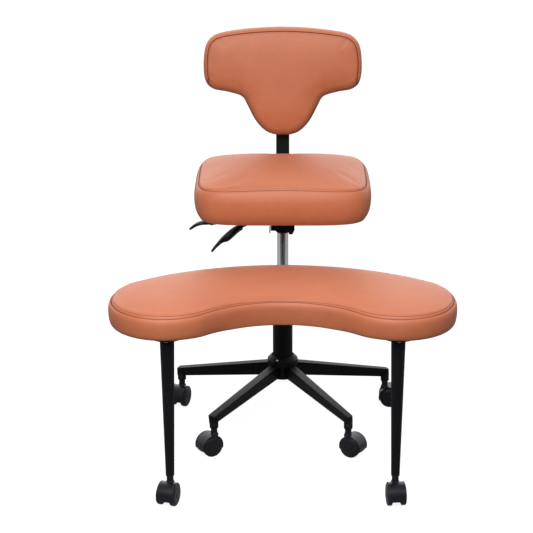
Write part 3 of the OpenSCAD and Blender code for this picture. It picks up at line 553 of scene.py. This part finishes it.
wheel = bmesh.new()
turned(wheel, [
    (4.1 * mm, 0), (22 * mm, 0), (24.4 * mm, 0.2 * mm), (25.7 * mm, 1.2 * mm), (26 * mm, 2.6 * mm),
    (26 * mm, 5 * mm), (25.75 * mm, 5.3 * mm), (25.75 * mm, 6 * mm), (26 * mm, 6.3 * mm),
    (26 * mm, 8.6 * mm), (25.6 * mm, 9.9 * mm), (24.6 * mm, 10.6 * mm), (23.6 * mm, 10.7 * mm),
    (22.8 * mm, 10.2 * mm), (22.2 * mm, 10.3 * mm), (21.4 * mm, 11.1 * mm), (16 * mm, 12.0 * mm),
    (9.6 * mm, 12.5 * mm), (8.8 * mm, 12.1 * mm), (8.2 * mm, 12.1 * mm), (7.6 * mm, 12.7 * mm),
    (4 * mm, 13.0 * mm), (0, 13.1 * mm),
], steps=72)
bmesh.ops.holes_fill(wheel, edges=wheel.edges)
wheel_mesh = bpy.data.meshes.new("wheel")
wheel.to_mesh(wheel_mesh)
wheel.free()

for name in caster_names:
    caster = "caster_" + name
    swivel = next(j for j in frame["joints"] if j["name"] == caster + "_swivel")
    roll = next(j for j in frame["joints"] if j["name"] == caster + "_wheel_a_roll")
    trailing = Vector(roll["pos_m"]) - Vector(swivel["pos_m"])
    heading_turn = math.atan2(trailing.y, trailing.x) + math.pi / 2
    turn = Matrix.Rotation(heading_turn, 4, "Z")
    place = Matrix.Translation((swivel["pos_m"][0], swivel["pos_m"][1], 0)) @ turn
    bm = bmesh.new()
    bm.from_mesh(hood_mesh)
    bmesh.ops.transform(bm, matrix=place, verts=bm.verts)
    piece = as_piece(caster + "_hood_shell", bm, nylon, caster, "nylon_black", caster + "_hood")
    soften(piece, 0.4 * mm, 2, 40)
    for letter, side in (("a", -1), ("b", 1)):
        bm = bmesh.new()
        bm.from_mesh(wheel_mesh)
        axle = Matrix.Translation((side * (web_half + wheel_gap), -trail, wheel_r))
        outward = Matrix.Rotation(side * math.pi / 2, 4, "Y")
        bmesh.ops.transform(bm, matrix=place @ axle @ outward, verts=bm.verts)
        node = caster + "_wheel_" + letter
        piece = as_piece(node + "_tyre", bm, nylon, node, "nylon_black", node)
        piece.data.set_sharp_from_angle(angle=math.radians(50))
    nodes[caster + "_pins"].data.materials.clear()
    nodes[caster + "_pins"].data.materials.append(bright_steel)


# Upholstery
# Moulded foam on plywood under a smooth coated leather. The cover is a boxing band and
# a top panel, joined by a seam that sits in a groove, with a row of stitches beside it.
stitch_pitch = 4.4 * mm


class Outline:
    """A closed outline, evenly spaced, with its inward normals and distances along it."""

    def __init__(self, points, spacing):
        p = np.array(points)
        gaps = np.linalg.norm(np.roll(p, -1, 0) - p, axis=1)
        along = np.concatenate([[0], np.cumsum(gaps)])
        self.length = along[-1]
        count = int(round(self.length / spacing))
        self.run = np.arange(count) * self.length / count
        closed = np.vstack([p, p[:1]])
        self.points = np.stack([np.interp(self.run, along, closed[:, k]) for k in (0, 1)], 1)
        ahead = np.roll(self.points, -2, 0) - np.roll(self.points, 2, 0)
        ahead /= np.linalg.norm(ahead, axis=1)[:, None]
        self.inward = np.stack([-ahead[:, 1], ahead[:, 0]], 1)
        self.stitch_count = int(round(self.length / stitch_pitch))

    def near(self, places):
        """Distance inside the outline and distance along it, for each place."""
        inside, run = [], []
        batch = 2000
        for start in range(0, len(places), batch):
            part = places[start:start + batch]
            gap = part[:, None, :] - self.points[None, :, :]
            nearest = np.argmin((gap**2).sum(2), 1)
            rows = np.arange(len(part))
            inside.append((gap[rows, nearest] * self.inward[nearest]).sum(1))
            run.append(self.run[nearest])
        return np.concatenate(inside), np.concatenate(run)


# A panel's grid stays this many cells clear of the ring round it, and cells underneath
# are this many times larger
clear_cells = 0.75
underside_cells = 4
relaxing_steps = 500


def cushion(outline, side, groove, rise, reach, arch, cell, tucked=None, share=None):
    """A closed cushion in a bmesh: a side grown ring by ring from its lower edge, and a
    top panel of square cells, crowned by rise. side holds pairs of inset and height, and
    groove is the number of its ring in the seam. Where share is 0 the rings follow tucked
    instead. arch(x, y) lowers what lies at full height."""
    bm = bmesh.new()
    ring_no = bm.verts.layers.int.new("ring")
    place_no = bm.verts.layers.int.new("place")
    side = np.array(side)
    low, top = side[0][1], side[-1][1]
    if share is None:
        profiles = np.repeat(side[None], len(outline.points), 0)
    else:
        weight = np.array(share)[:, None, None]
        profiles = weight * side[None] + (1 - weight) * np.array(tucked)[None]
    leg = np.linalg.norm(np.diff(profiles, axis=1), axis=2)
    along = np.concatenate([np.zeros((len(leg), 1)), np.cumsum(leg, axis=1)], axis=1)
    along -= along[:, groove:groove + 1]

    def settle(v, k):
        i = v[place_no]
        inset, z = profiles[i, k]
        x, y = outline.points[i] + inset * outline.inward[i]
        v.co = (x, y, z - arch(x, y) * max(0, z - low) / (top - low))
        v[ring_no] = k

    def panel(edges, inset, z, size):
        """Fills a ring of edges with square cells and a band of triangles round them."""
        corner = outline.points.min(0)
        spread = outline.points.max(0) - corner
        counts = [int(math.ceil(s / size)) for s in spread]
        grid = bmesh.ops.create_grid(bm, x_segments=counts[0], y_segments=counts[1], size=0.5)["verts"]
        for v in grid:
            v.co = (*(corner + (np.array(v.co.xy) + 0.5) * spread), z)
            v[ring_no] = len(side)
        inside, _ = outline.near(np.array([v.co.xy for v in grid]))
        outer = [v for v, d in zip(grid, inside) if d < inset + clear_cells * size]
        bmesh.ops.delete(bm, geom=outer, context="VERTS")
        kept = [v for v in grid if v.is_valid]
        bmesh.ops.delete(bm, geom=[v for v in kept if not v.link_faces], context="VERTS")
        kept = [v for v in kept if v.is_valid]
        border = {e for v in kept for e in v.link_edges if len(e.link_faces) == 1}
        bmesh.ops.triangle_fill(bm, use_beauty=True, edges=edges + list(border), normal=(0, 0, 1))
        return kept

    ring = [bm.verts.new() for _ in outline.points]
    for i, v in enumerate(ring):
        v[place_no] = i
        settle(v, 0)
    edges = [bm.edges.new((a, b)) for a, b in zip(ring, ring[1:] + ring[:1])]
    panel(edges, side[0][0], low, underside_cells * cell)
    for k in range(1, len(side)):
        grown = bmesh.ops.extrude_edge_only(bm, edges=edges)["geom"]
        edges = [e for e in grown if isinstance(e, bmesh.types.BMEdge) and len(e.link_faces) == 1]
        for v in grown:
            if isinstance(v, bmesh.types.BMVert):
                settle(v, k)
    cover = panel(edges, side[-1][0], top, cell)
    # The crown is a sheet pushed up by a soft filling: it leaves the seam steeply, and
    # most of its climb is done a reach inside
    order = {v: n for n, v in enumerate(cover)}
    links = np.array([
        (order[v], order.get(e.other_vert(v), len(cover))) for v in cover for e in v.link_edges
    ])
    degree = np.bincount(links[:, 0])
    push = (cell / reach) ** 2 / 4
    climb = np.zeros(len(cover) + 1)
    for _ in range(relaxing_steps):
        around = np.bincount(links[:, 0], climb[links[:, 1]]) / degree
        climb[:-1] = (around + push) / (1 + push)
    for v, part in zip(cover, climb):
        v.co.z = top - arch(v.co.x, v.co.y) + rise * part
    bmesh.ops.recalc_face_normals(bm, faces=bm.faces)

    # Stitches counted along the seam, and distance across it
    sewn = bm.loops.layers.uv.new("seam")
    inside, run = outline.near(np.array([v.co.xy for v in bm.verts]))
    count = outline.stitch_count
    seam_uv = {}
    for v, d, u in zip(bm.verts, inside, run):
        k = v[ring_no]
        i = v[place_no]
        if k < len(side):
            seam_uv[v] = (outline.run[i] / outline.length * count, along[i, k])
        else:
            seam_uv[v] = (u / outline.length * count, d - side[-1][0] + along[:, -1].mean())
    for face in bm.faces:
        counted = [seam_uv[v][0] for v in face.verts]
        wraps = max(counted) - min(counted) > count / 2
        for loop in face.loops:
            u, off = seam_uv[loop.vert]
            loop[sewn].uv = (u + count if wraps and u < count / 2 else u, off)
    bm.verts.index_update()
    stapled = (0, 1, 2)
    sewn_down = (groove - 1, groove, groove + 1)
    held = [v.index for v in bm.verts if v[ring_no] in stapled + sewn_down]
    return bm, held


swell_frames = 20


def inflate(piece, held, cap):
    """Lets the cover swell between its seams as cloth, no further than cap."""
    rest = np.array([v.co for v in piece.data.vertices])
    sewn = piece.vertex_groups.new(name="sewn")
    sewn.add(held, 1.0, "REPLACE")
    cloth = piece.modifiers.new("cover", "CLOTH")
    cloth.settings.quality = 4
    cloth.settings.mass = 0.4
    cloth.settings.tension_stiffness = 20
    cloth.settings.compression_stiffness = 20
    cloth.settings.shear_stiffness = 8
    cloth.settings.bending_stiffness = 3
    cloth.settings.vertex_group_mass = "sewn"
    cloth.settings.use_pressure = True
    cloth.settings.uniform_pressure_force = 2.0
    cloth.settings.effector_weights.gravity = 0
    cloth.collision_settings.use_collision = False
    cloth.collision_settings.use_self_collision = False
    cloth.point_cache.frame_start = 1
    cloth.point_cache.frame_end = swell_frames
    for step in range(swell_frames):
        bpy.context.scene.frame_set(step + 1)
    shape = piece.evaluated_get(bpy.context.evaluated_depsgraph_get())
    swollen = np.array([v.co for v in shape.data.vertices])
    piece.modifiers.remove(cloth)
    bpy.context.scene.frame_set(1)
    move = swollen - rest
    tiny = 1e-9
    far = np.linalg.norm(move, axis=1)[:, None] + tiny
    move *= cap * np.tanh(far / cap) / far
    piece.data.vertices.foreach_set("co", (rest + move).ravel())
    piece.data.update()


hole_depth = 0.2 * mm
above = Vector((0, 0, 1))


def stitches(cover, outline, insets, long, thick, pierced):
    """Short thread stitches lying on a cover, at a distance inside each outline point.
    Between two of them is a needle hole, a flat dark spot of painted shade, of radius pierced."""
    smooth = cover.modifiers.new("smooth", "SUBSURF")
    smooth.levels = 1
    smooth.render_levels = 1
    tree = BVHTree.FromObject(cover, bpy.context.evaluated_depsgraph_get())
    pitch = outline.length / outline.stitch_count
    one = bmesh.new()
    # Needle hole: a flat disc in the second material, a dark spot of painted shade
    hole = bmesh.ops.create_uvsphere(one, u_segments=8, v_segments=4, radius=1)["verts"]
    for face in one.faces:
        face.material_index = 1
    bmesh.ops.scale(one, vec=(pierced, pierced, hole_depth), verts=hole)
    bmesh.ops.translate(one, vec=(pitch / 2, 0, 0), verts=hole)
    strand = bmesh.ops.create_uvsphere(one, u_segments=8, v_segments=5, radius=1)["verts"]
    bmesh.ops.scale(one, vec=(long / 2, thick, 0.8 * thick), verts=strand)
    thread_mesh = bpy.data.meshes.new("stitch")
    one.to_mesh(thread_mesh)
    one.free()
    line = outline.points + np.array(insets)[:, None] * outline.inward
    bm = bmesh.new()
    for number in range(outline.stitch_count):
        i = number * len(line) / outline.stitch_count
        k, part = int(i), i - int(i)
        after = (k + 1) % len(line)
        place = line[k] * (1 - part) + line[after] * part
        hit, normal, _, _ = tree.ray_cast(Vector((*place, 1)), -above)
        if hit is None:
            continue
        ahead = Vector((*(line[after] - line[k]), 0))
        ahead = (ahead - ahead.dot(normal) * normal).normalized()
        turn = Matrix((ahead, normal.cross(ahead), normal)).transposed().to_4x4()
        sewn = thread_mesh.copy()
        sewn.transform(Matrix.Translation(hit + 0.1 * thick * normal) @ turn)
        bm.from_mesh(sewn, face_normals=False)
        bpy.data.meshes.remove(sewn)
    return bm


def leather(wire):
    """Coated hide with a fine grain, with painted shade down in the seam groove, and gathered at each
    stitch.
    """
    at = wire.node("ShaderNodeTexCoord", out="Object")
    seam = wire.node("ShaderNodeUVMap", uv_map="seam")
    count = wire.node("ShaderNodeSeparateXYZ", {0: seam}, out="X")
    off = wire.node("ShaderNodeSeparateXYZ", {0: seam}, out="Y")
    broad = wire.node("ShaderNodeTexNoise", {"Vector": at, "Scale": 5, "Detail": 2})
    tint = wire.node("ShaderNodeTexNoise", {"Vector": at, "Scale": 45, "Detail": 4})
    creases = wire.node(
        "ShaderNodeTexVoronoi", {"Vector": at, "Scale": 620}, feature="DISTANCE_TO_EDGE"
    )
    pores = wire.node("ShaderNodeTexNoise", {"Vector": at, "Scale": 1800, "Detail": 2})
    grain = creases.step(0, 0.14) * 0.8 + pores * 0.35
    # Painted shade: across the seam groove the base colour turns dark red-brown and the hide rougher
    line = 1 - abs(off).step(1.7 * mm, 3.6 * mm)
    close = 1 - abs(off).step(1 * mm, 11 * mm)
    waver = wire.node("ShaderNodeTexNoise", {"Vector": at, "Scale": 38, "Detail": 1})
    gathers = wire.maths("SINE", count * math.tau) * close * waver.step(0.3, 0.7)
    mottled = broad * 0.6 + tint * 0.4
    tan = mottled.step(0.3, 0.7).blend((0.515, 0.142, 0.057, 1), (0.57, 0.166, 0.07, 1))
    # The seam's painted shade: the tan goes dark red-brown inside the groove
    tan = (line * 0.9).blend(tan, (0.13, 0.014, 0.005, 1))
    skin = wire.node("ShaderNodeBump", {"Strength": 0.25, "Distance": 0.0003, "Height": grain})
    puckered = wire.node(
        "ShaderNodeBump",
        {"Strength": 0.3, "Distance": 0.0008, "Height": gathers, "Normal": skin},
    )
    return {
        "Base Color": tan,
        "Roughness": 0.46 + tint * 0.1 + grain * 0.03 + line * 0.35,
        "Specular IOR Level": 0.62,
        "Normal": puckered,
    }


tan_leather = surface("leather_tan", leather)


def thread(wire):
    """Twisted thread a little darker than the hide."""
    at = wire.node("ShaderNodeTexCoord", out="Object")
    twist = wire.node("ShaderNodeTexWave", {"Vector": at, "Scale": 700, "Distortion": 1.0})
    return {
        "Base Color": twist.blend((0.3, 0.07, 0.033, 1), (0.4, 0.105, 0.05, 1)),
        "Roughness": 0.6,
        "Normal": wire.node(
            "ShaderNodeBump", {"Strength": 0.3, "Distance": 0.0002, "Height": twist}
        ),
    }


sewing_thread = surface("thread", thread)
# The needle holes' shade is painted: a flat near-black spot
needle_hole_shade = surface(
    "needle_hole_shade", lambda wire: {"Base Color": (0.05, 0.01, 0.006, 1), "Roughness": 0.8}
)


def sew(name, bm, body):
    """Makes the thread and the needle holes, dark spots of painted shade, of one row a piece."""
    row = as_piece(name, bm, sewing_thread, body, "leather_tan")
    row.data.materials.append(needle_hole_shade)
    return row


# Platform cushion
# The wide kidney that the legs rest on: two round lobes, a bulging rear and a hollow
# front. The rings up its side are pairs of inset and height over its lower edge.
lobe_r = 133 * mm
lobe_x = 262 * mm
lobe_y = 415 * mm
rear_y = 182 * mm
front_y = 434 * mm
arc_spacing = 2 * mm


def kidney():
    """Points of the outline, counterclockwise from the left lobe."""
    rise = lobe_y - rear_y
    rear_r = (lobe_x**2 + rise**2 - lobe_r**2) / (2 * (rise - lobe_r))
    dip = front_y - lobe_y
    front_r = (lobe_x**2 + dip**2 - lobe_r**2) / (2 * (lobe_r - dip))
    rear_reach = math.atan2(lobe_x, rear_y + rear_r - lobe_y)
    front_reach = math.atan2(lobe_x, front_y + front_r - lobe_y)
    quarter = math.pi / 2

    def arc(x, y, r, start, end):
        count = max(4, round(abs(end - start) * r / arc_spacing))
        return [
            (x + r * math.cos(a), y + r * math.sin(a))
            for a in np.linspace(start, end, count, endpoint=False)
        ]

    return (
        arc(-lobe_x, -lobe_y, lobe_r, quarter + rear_reach, 3 * quarter + front_reach)
        + arc(0, -front_y - front_r, front_r, quarter + front_reach, quarter - front_reach)
        + arc(lobe_x, -lobe_y, lobe_r, 3 * quarter - front_reach, 5 * quarter - rear_reach)
        + arc(0, -rear_y - rear_r, rear_r, quarter - rear_reach, quarter + rear_reach)
    )


rear_lift = 7 * mm
lobe_lift = 6 * mm
lobe_lift_from = 500 * mm
lobe_lift_over = 150 * mm


def platform_arch(x, y):
    """The rear and the lobes' outer ends are stuffed fuller than the front."""
    rear = min(1, max(0, (y + front_y) / (front_y - rear_y)))
    out = x / (lobe_x + lobe_r)
    lobe = out**2 * min(1, max(0, (y + lobe_lift_from) / lobe_lift_over))
    return -rear_lift * rear - lobe_lift * lobe


def rings(places, low):
    """Pairs of inset and height in millimetres, over a lower edge."""
    return np.array(places) * mm + (0, low)


board_in = 14
platform_low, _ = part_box("platform_cushion")
platform_outline = Outline(kidney(), spacing=4.5 * mm)
platform_side = [
    (board_in, 12.3), (board_in, 0.8), (board_in - 1, 0.2), (10, 0.8), (6.2, 3), (3.4, 7.4),
    (1.6, 13.6), (0.5, 22.6), (0, 31), (0.4, 39.6), (1.6, 46.2), (3.8, 50.6), (5.6, 52.2), (6.6, 52),
    (8.2, 49.4), (8.6, 54), (10.2, 56.6), (13, 59.4), (17, 61.8),
]
platform_groove = 14
# In the hollow of the front the band leans in towards its lower edge, which hangs lower
platform_tucked = [
    (board_in, 12.3), (board_in, 0.4), (board_in - 1.4, -1), (8.8, -3), (6, -2), (4.4, 3),
    (2.9, 10.5), (1.6, 19.5), (0.6, 30),
] + platform_side[9:]
hollow_y = -350 * mm
platform_share = [
    1.0 if y > hollow_y else float(np.interp(abs(x), (110 * mm, 210 * mm), (0, 1)))
    for x, y in platform_outline.points
]
bm, held = cushion(
    platform_outline, rings(platform_side, platform_low.z), platform_groove,
    rise=15.5 * mm, reach=36 * mm, arch=platform_arch, cell=6 * mm,
    tucked=rings(platform_tucked, platform_low.z), share=platform_share,
)
platform_cover = as_piece(
    "platform_cover", bm, tan_leather, "platform", "leather_tan", "platform_cushion"
)
inflate(platform_cover, held, cap=2 * mm)
platform_row = [
    np.interp(abs(x), (60 * mm, 170 * mm), (9.3 * mm, 11.6 * mm)) for x, _ in platform_outline.points
]
bm = stitches(
    platform_cover, platform_outline, platform_row, long=3 * mm, thick=0.45 * mm, pierced=0.85 * mm
)
sew("platform_stitches", bm, "platform")

# Seat cushion
# A thick block with rounded corners. Its top arches a little from side to side.
seat_low, seat_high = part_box("seat_cushion")
seat_centre = (seat_low + seat_high) / 2
seat_half = (seat_high - seat_low) / 2
rear_sag = 1 * mm
front_sag = 12 * mm


def seat_arch(x, y):
    """Both sides lie lower than the middle, most of all in front."""
    sag = np.interp(y, (-140 * mm, 60 * mm), (front_sag, rear_sag))
    return sag * min(1, abs(x) / seat_half.x) ** 1.9


def squared(v, power=4.6):
    """A sine or cosine that makes a circle a square with rounded corners."""
    return math.copysign(abs(v) ** (2 / power), v)


seat_outline = Outline(
    [
        (
            seat_centre.x + seat_half.x * squared(math.cos(a)),
            seat_centre.y + seat_half.y * squared(math.sin(a)),
        )
        for a in np.linspace(0, math.tau, 900, endpoint=False)
    ],
    spacing=4.5 * mm,
)
seat_side = [
    (board_in, 10.3), (board_in, 0.8), (board_in - 1, 0.2), (11.6, 2.6), (8.2, 7.8), (5.4, 13.8),
    (3, 21.4), (1.2, 31), (0.2, 43), (0.1, 57), (1.2, 67.5), (3.4, 76.4), (6.2, 83.4), (9.2, 87.8),
    (10.6, 88), (12, 85.2), (12.6, 89.9), (14.4, 92.8), (18, 96),
]
seat_groove = 15
bm, held = cushion(
    seat_outline, rings(seat_side, seat_low.z), seat_groove,
    rise=20 * mm, reach=40 * mm, arch=seat_arch, cell=6 * mm,
)
seat_cover = as_piece("seat_cover", bm, tan_leather, "seat", "leather_tan", "seat_cushion")
inflate(seat_cover, held, cap=2.5 * mm)
seat_row = [13.9 * mm for _ in seat_outline.points]
bm = stitches(
    seat_cover, seat_outline, seat_row, long=3 * mm, thick=0.42 * mm, pierced=0.5 * mm
)
sew("seat_stitches", bm, "seat")

# Backrest cushion
# A T-shaped pad: a wide head over a narrow foot. It is made lying flat, then stood up
# against its board, leaning with the bar above its bend.
back_w = 402 * mm
back_h = 277 * mm
back_low_end = 121 * mm
lean = math.radians(5)
bend_r = 28 * mm
bend_y = 200 * mm
bend_z = 573 * mm
board_face = -9.3 * mm
bar_end = Matrix.Translation((0, bend_y + bend_r * math.cos(lean), bend_z - bend_r * math.sin(lean)))
leaning = Matrix.Rotation(-lean, 4, "X")
standing = Matrix.Rotation(math.pi / 2, 4, "X")
stand_up = bar_end @ leaning @ Matrix.Translation((0, board_face, 0)) @ standing
half_shares = [
    (0, 1), (0.26, 0.994), (0.54, 0.976), (0.79, 0.945), (0.91, 0.898), (0.975, 0.82),
    (1, 0.69), (0.995, 0.56), (0.955, 0.47), (0.86, 0.424), (0.7, 0.402), (0.52, 0.36),
    (0.45, 0.28), (0.385, 0.185), (0.308, 0.1), (0.2, 0.03), (0.07, 0), (0, 0),
]


def spline(a, b, c, d, t):
    """A point on a smooth curve between b and c, with a before them and d after."""
    return 0.5 * (
        2 * b + (c - a) * t + (2 * a - 5 * b + 4 * c - d) * t**2 + (3 * b - a - 3 * c + d) * t**3
    )


def back_points():
    """The whole outline, counterclockwise from the middle of the top down the left."""
    h = [np.array(p) for p in half_shares]
    mirror = np.array([-1, 1])
    right = []
    for i in range(len(h) - 1):
        before = h[1] * mirror if i == 0 else h[i - 1]
        after = h[-2] * mirror if i == len(h) - 2 else h[i + 2]
        right += [spline(before, h[i], h[i + 1], after, t) for t in np.linspace(0, 1, 12, endpoint=False)]
    right.append(h[-1])
    whole = [p * mirror for p in right] + right[-2:0:-1]
    return [(p[0] * back_w / 2, back_low_end + p[1] * back_h) for p in whole]


foot_sag = 8 * mm
sag_reach = 75 * mm
wing_foot = 0.37 * back_h


def back_arch(x, y):
    """The pad thins towards the lower edge of its foot and its wings."""
    lower_edge = back_low_end + np.interp(abs(x) / back_w, (0.17, 0.27), (0, wing_foot))
    return foot_sag * max(0, 1 - (y - lower_edge) / sag_reach) ** 2


back_outline = Outline(back_points(), spacing=4 * mm)
# Rings where the seam shows on the front, and rings where it slips round to the side
back_side = [
    (14, 10.3), (14, 0.8), (13, 0.2), (9.5, 0.5), (6, 3), (2.8, 8), (0.9, 15), (0, 23), (0.6, 31),
    (2.4, 38), (5.2, 42.8), (8.8, 45.6), (10.4, 42.8), (11.4, 46.2), (12.2, 47), (13.2, 47.6),
    (14.8, 48.3), (17, 49),
]
back_tucked = [
    (14, 10.3), (14, 0.8), (13, 0.2), (9.5, 0.5), (6, 3), (2.8, 8), (1.1, 12), (0.5, 15), (0.2, 18),
    (0, 20.4), (0, 22), (0.2, 23.6), (2.4, 25), (0.5, 26.4), (1.1, 31), (3.4, 37.6),
    (8.2, 43.8), (17, 49),
]
seam_turns = (0, 0.2, 0.36, 0.43, 0.52)
front_shares = (0.12, 0.3, 0.1, 0, 1)
back_share = [
    float(np.interp((y - back_low_end) / back_h, seam_turns, front_shares))
    for _, y in back_outline.points
]
back_groove = 12
bm, held = cushion(
    back_outline, rings(back_side, 0), back_groove,
    rise=7 * mm, reach=30 * mm, arch=back_arch, cell=5 * mm,
    tucked=rings(back_tucked, 0), share=back_share,
)
back_cover = as_piece("back_cover", bm, tan_leather, "backrest", "leather_tan", "back_cushion")
inflate(back_cover, held, cap=1.8 * mm)
row_at_side = 1.7 * mm
row_on_front = 14 * mm
back_row = [row_at_side + (row_on_front - row_at_side) * w for w in back_share]
bm = stitches(
    back_cover, back_outline, back_row, long=2.9 * mm, thick=0.4 * mm, pierced=0.45 * mm
)
bmesh.ops.transform(bm, matrix=stand_up, verts=bm.verts)
sew("back_stitches", bm, "backrest")
back_cover.data.transform(stand_up)


# Boards
# Rotary-cut birch plywood under the platform and seat. The backrest's board is covered
# in the same leather as its cushion.
def birch(wire):
    """Veneer with a long wavy figure and fine fibres across the chair."""
    at = wire.node("ShaderNodeTexCoord", out="Object")
    stretched = wire.node("ShaderNodeMapping", {"Vector": at, "Scale": (3, 40, 40)})
    figure = wire.node(
        "ShaderNodeTexNoise", {"Vector": stretched, "Scale": 1.5, "Detail": 6, "Distortion": 1.2}
    )
    fibre = wire.node("ShaderNodeTexNoise", {"Vector": stretched, "Scale": 14, "Detail": 3})
    return {
        "Base Color": (figure * 0.7 + fibre * 0.3).blend((0.42, 0.26, 0.12, 1), (0.66, 0.47, 0.27, 1)),
        "Roughness": 0.62 + fibre * 0.15,
        "Normal": wire.node(
            "ShaderNodeBump", {"Strength": 0.2, "Distance": 0.0003, "Height": fibre}
        ),
    }


plywood = surface("plywood", birch)
rounded_copy("platform_board", plywood, "platform", "plywood", 0.6 * mm)
rounded_copy("seat_board", plywood, "seat", "plywood", 0.6 * mm)
rounded_copy("back_board", tan_leather, "backrest", "leather_tan", 1.5 * mm, 3)

# Levers
# Bent steel rods that end in flat nylon paddles. Each paddle has a broad shoulder for
# the fingers, then a thin tail that curves down.
for lever in ("height_lever", "tilt_lever"):
    rounded_copy(lever, black_steel, lever, "powder_black", 0.4 * mm)
corners = 16
flat_sides = 0.6
flat_faces = 0.8


def paddle(name, body, stations):
    """A blade through stations in millimetres: a place, the half-widths to both sides and
    the thickness there."""
    places = [Vector(s[0]) * mm for s in stations]
    bm = bmesh.new()
    stages = []
    for k, (_, left, right, thick) in enumerate(stations):
        ahead = places[min(k + 1, len(places) - 1)] - places[max(k - 1, 0)]
        ahead.normalize()
        across = ahead.cross(Vector((0, 0, 1))).normalized()
        up = across.cross(ahead)
        ring = []
        for a in np.linspace(0, math.tau, corners, endpoint=False):
            wide = math.copysign(abs(math.cos(a)) ** flat_sides, math.cos(a))
            tall = math.copysign(abs(math.sin(a)) ** flat_faces, math.sin(a))
            reach = (right if wide > 0 else left) * wide
            ring.append(bm.verts.new(places[k] - (across * reach - up * thick / 2 * tall) * mm))
        stages.append(ring)
    for pair in zip(stages, stages[1:]):
        ends = [both for ring in pair for both in zip(ring, ring[1:] + ring[:1])]
        edges = [bm.edges.get(both) or bm.edges.new(both) for both in ends]
        bmesh.ops.bridge_loops(bm, edges=edges)
    bmesh.ops.holes_fill(bm, edges=bm.edges)
    bmesh.ops.recalc_face_normals(bm, faces=bm.faces)
    piece = as_piece(name + "_blade", bm, nylon, body, "nylon_black", name)
    smooth = piece.modifiers.new("smooth", "SUBSURF")
    smooth.levels = 2
    smooth.render_levels = 2


paddle("height_lever_grip", "height_lever", [
    ((-101, 4.5, 509.4), 7, 7, 12), ((-103, 4, 509), 8.4, 8.4, 13.4),
    ((-114, -2, 506.5), 10.6, 11.4, 13.6), ((-124, -20, 503.4), 11, 13, 12.4),
    ((-134, -40, 500.8), 10.4, 14.6, 11.6), ((-143, -59, 498.4), 9, 15.4, 10.6),
    ((-147, -67, 497.6), 7.8, 14.4, 9.6), ((-149.5, -72, 497.2), 6.6, 6.6, 8.2),
    ((-155, -87, 495.7), 5.4, 4.6, 7), ((-162, -106, 493.8), 4.4, 3.8, 6.2),
    ((-167.5, -123, 491.6), 3.8, 3.2, 5.6), ((-170.5, -134, 490.1), 3.2, 2.8, 4.8),
    ((-171, -137, 489.8), 1.6, 1.4, 2.6),
])
paddle("tilt_lever_grip", "tilt_lever", [
    ((-166, 40, 513.8), 6.8, 6.8, 12), ((-168, 40, 513.3), 7.4, 7.4, 12),
    ((-182, 40, 510.4), 8, 8.4, 11.6), ((-195, 40, 510.4), 9, 10.4, 10.2),
    ((-205, 40, 509.4), 9.2, 11.2, 9.6), ((-211.5, 40, 507.2), 8.4, 10.6, 9.2),
    ((-216, 40, 504.8), 7, 6.6, 8.8), ((-223, 40, 500.4), 5.8, 5.2, 7.8),
    ((-229.5, 40, 495.6), 4.8, 4.2, 6.6), ((-233, 40, 492.4), 3.8, 3.4, 5.4),
    ((-234.2, 40, 491.2), 1.8, 1.6, 3),
])
rounded_copy("back_knob", nylon, "back_knob", "nylon_black", 1.6 * mm, 3)

# Tray fittings
# A lip folded down from the left side of the steel tray, and the nut and bolt end of
# the tension adjuster at its right front corner, in the same black coat.
lip_size = Vector((2.6, 34, 9)) * mm
lip_middle = Vector((-31.2, -66, 524)) * mm
nut_middle = Vector((20, -70, 521.6)) * mm
nut_r = 8.4 * mm
nut_thick = 6 * mm
bolt_middle = Vector((20, -70, 519)) * mm
bolt_r = 5 * mm
bolt_long = 10 * mm
bm = bmesh.new()
lip = bmesh.ops.create_cube(bm, size=1)["verts"]
bmesh.ops.scale(bm, vec=lip_size, verts=lip)
bmesh.ops.translate(bm, vec=lip_middle, verts=lip)
for middle, segments, r, depth in (
    (nut_middle, 6, nut_r, nut_thick), (bolt_middle, 32, bolt_r, bolt_long),
):
    bmesh.ops.create_cone(
        bm, cap_ends=True, segments=segments, radius1=r, radius2=r, depth=depth,
        matrix=Matrix.Translation(middle),
    )
fittings = as_piece("tray_fittings", bm, black_steel, "seat", "powder_black")
soften(fittings, 0.5 * mm)
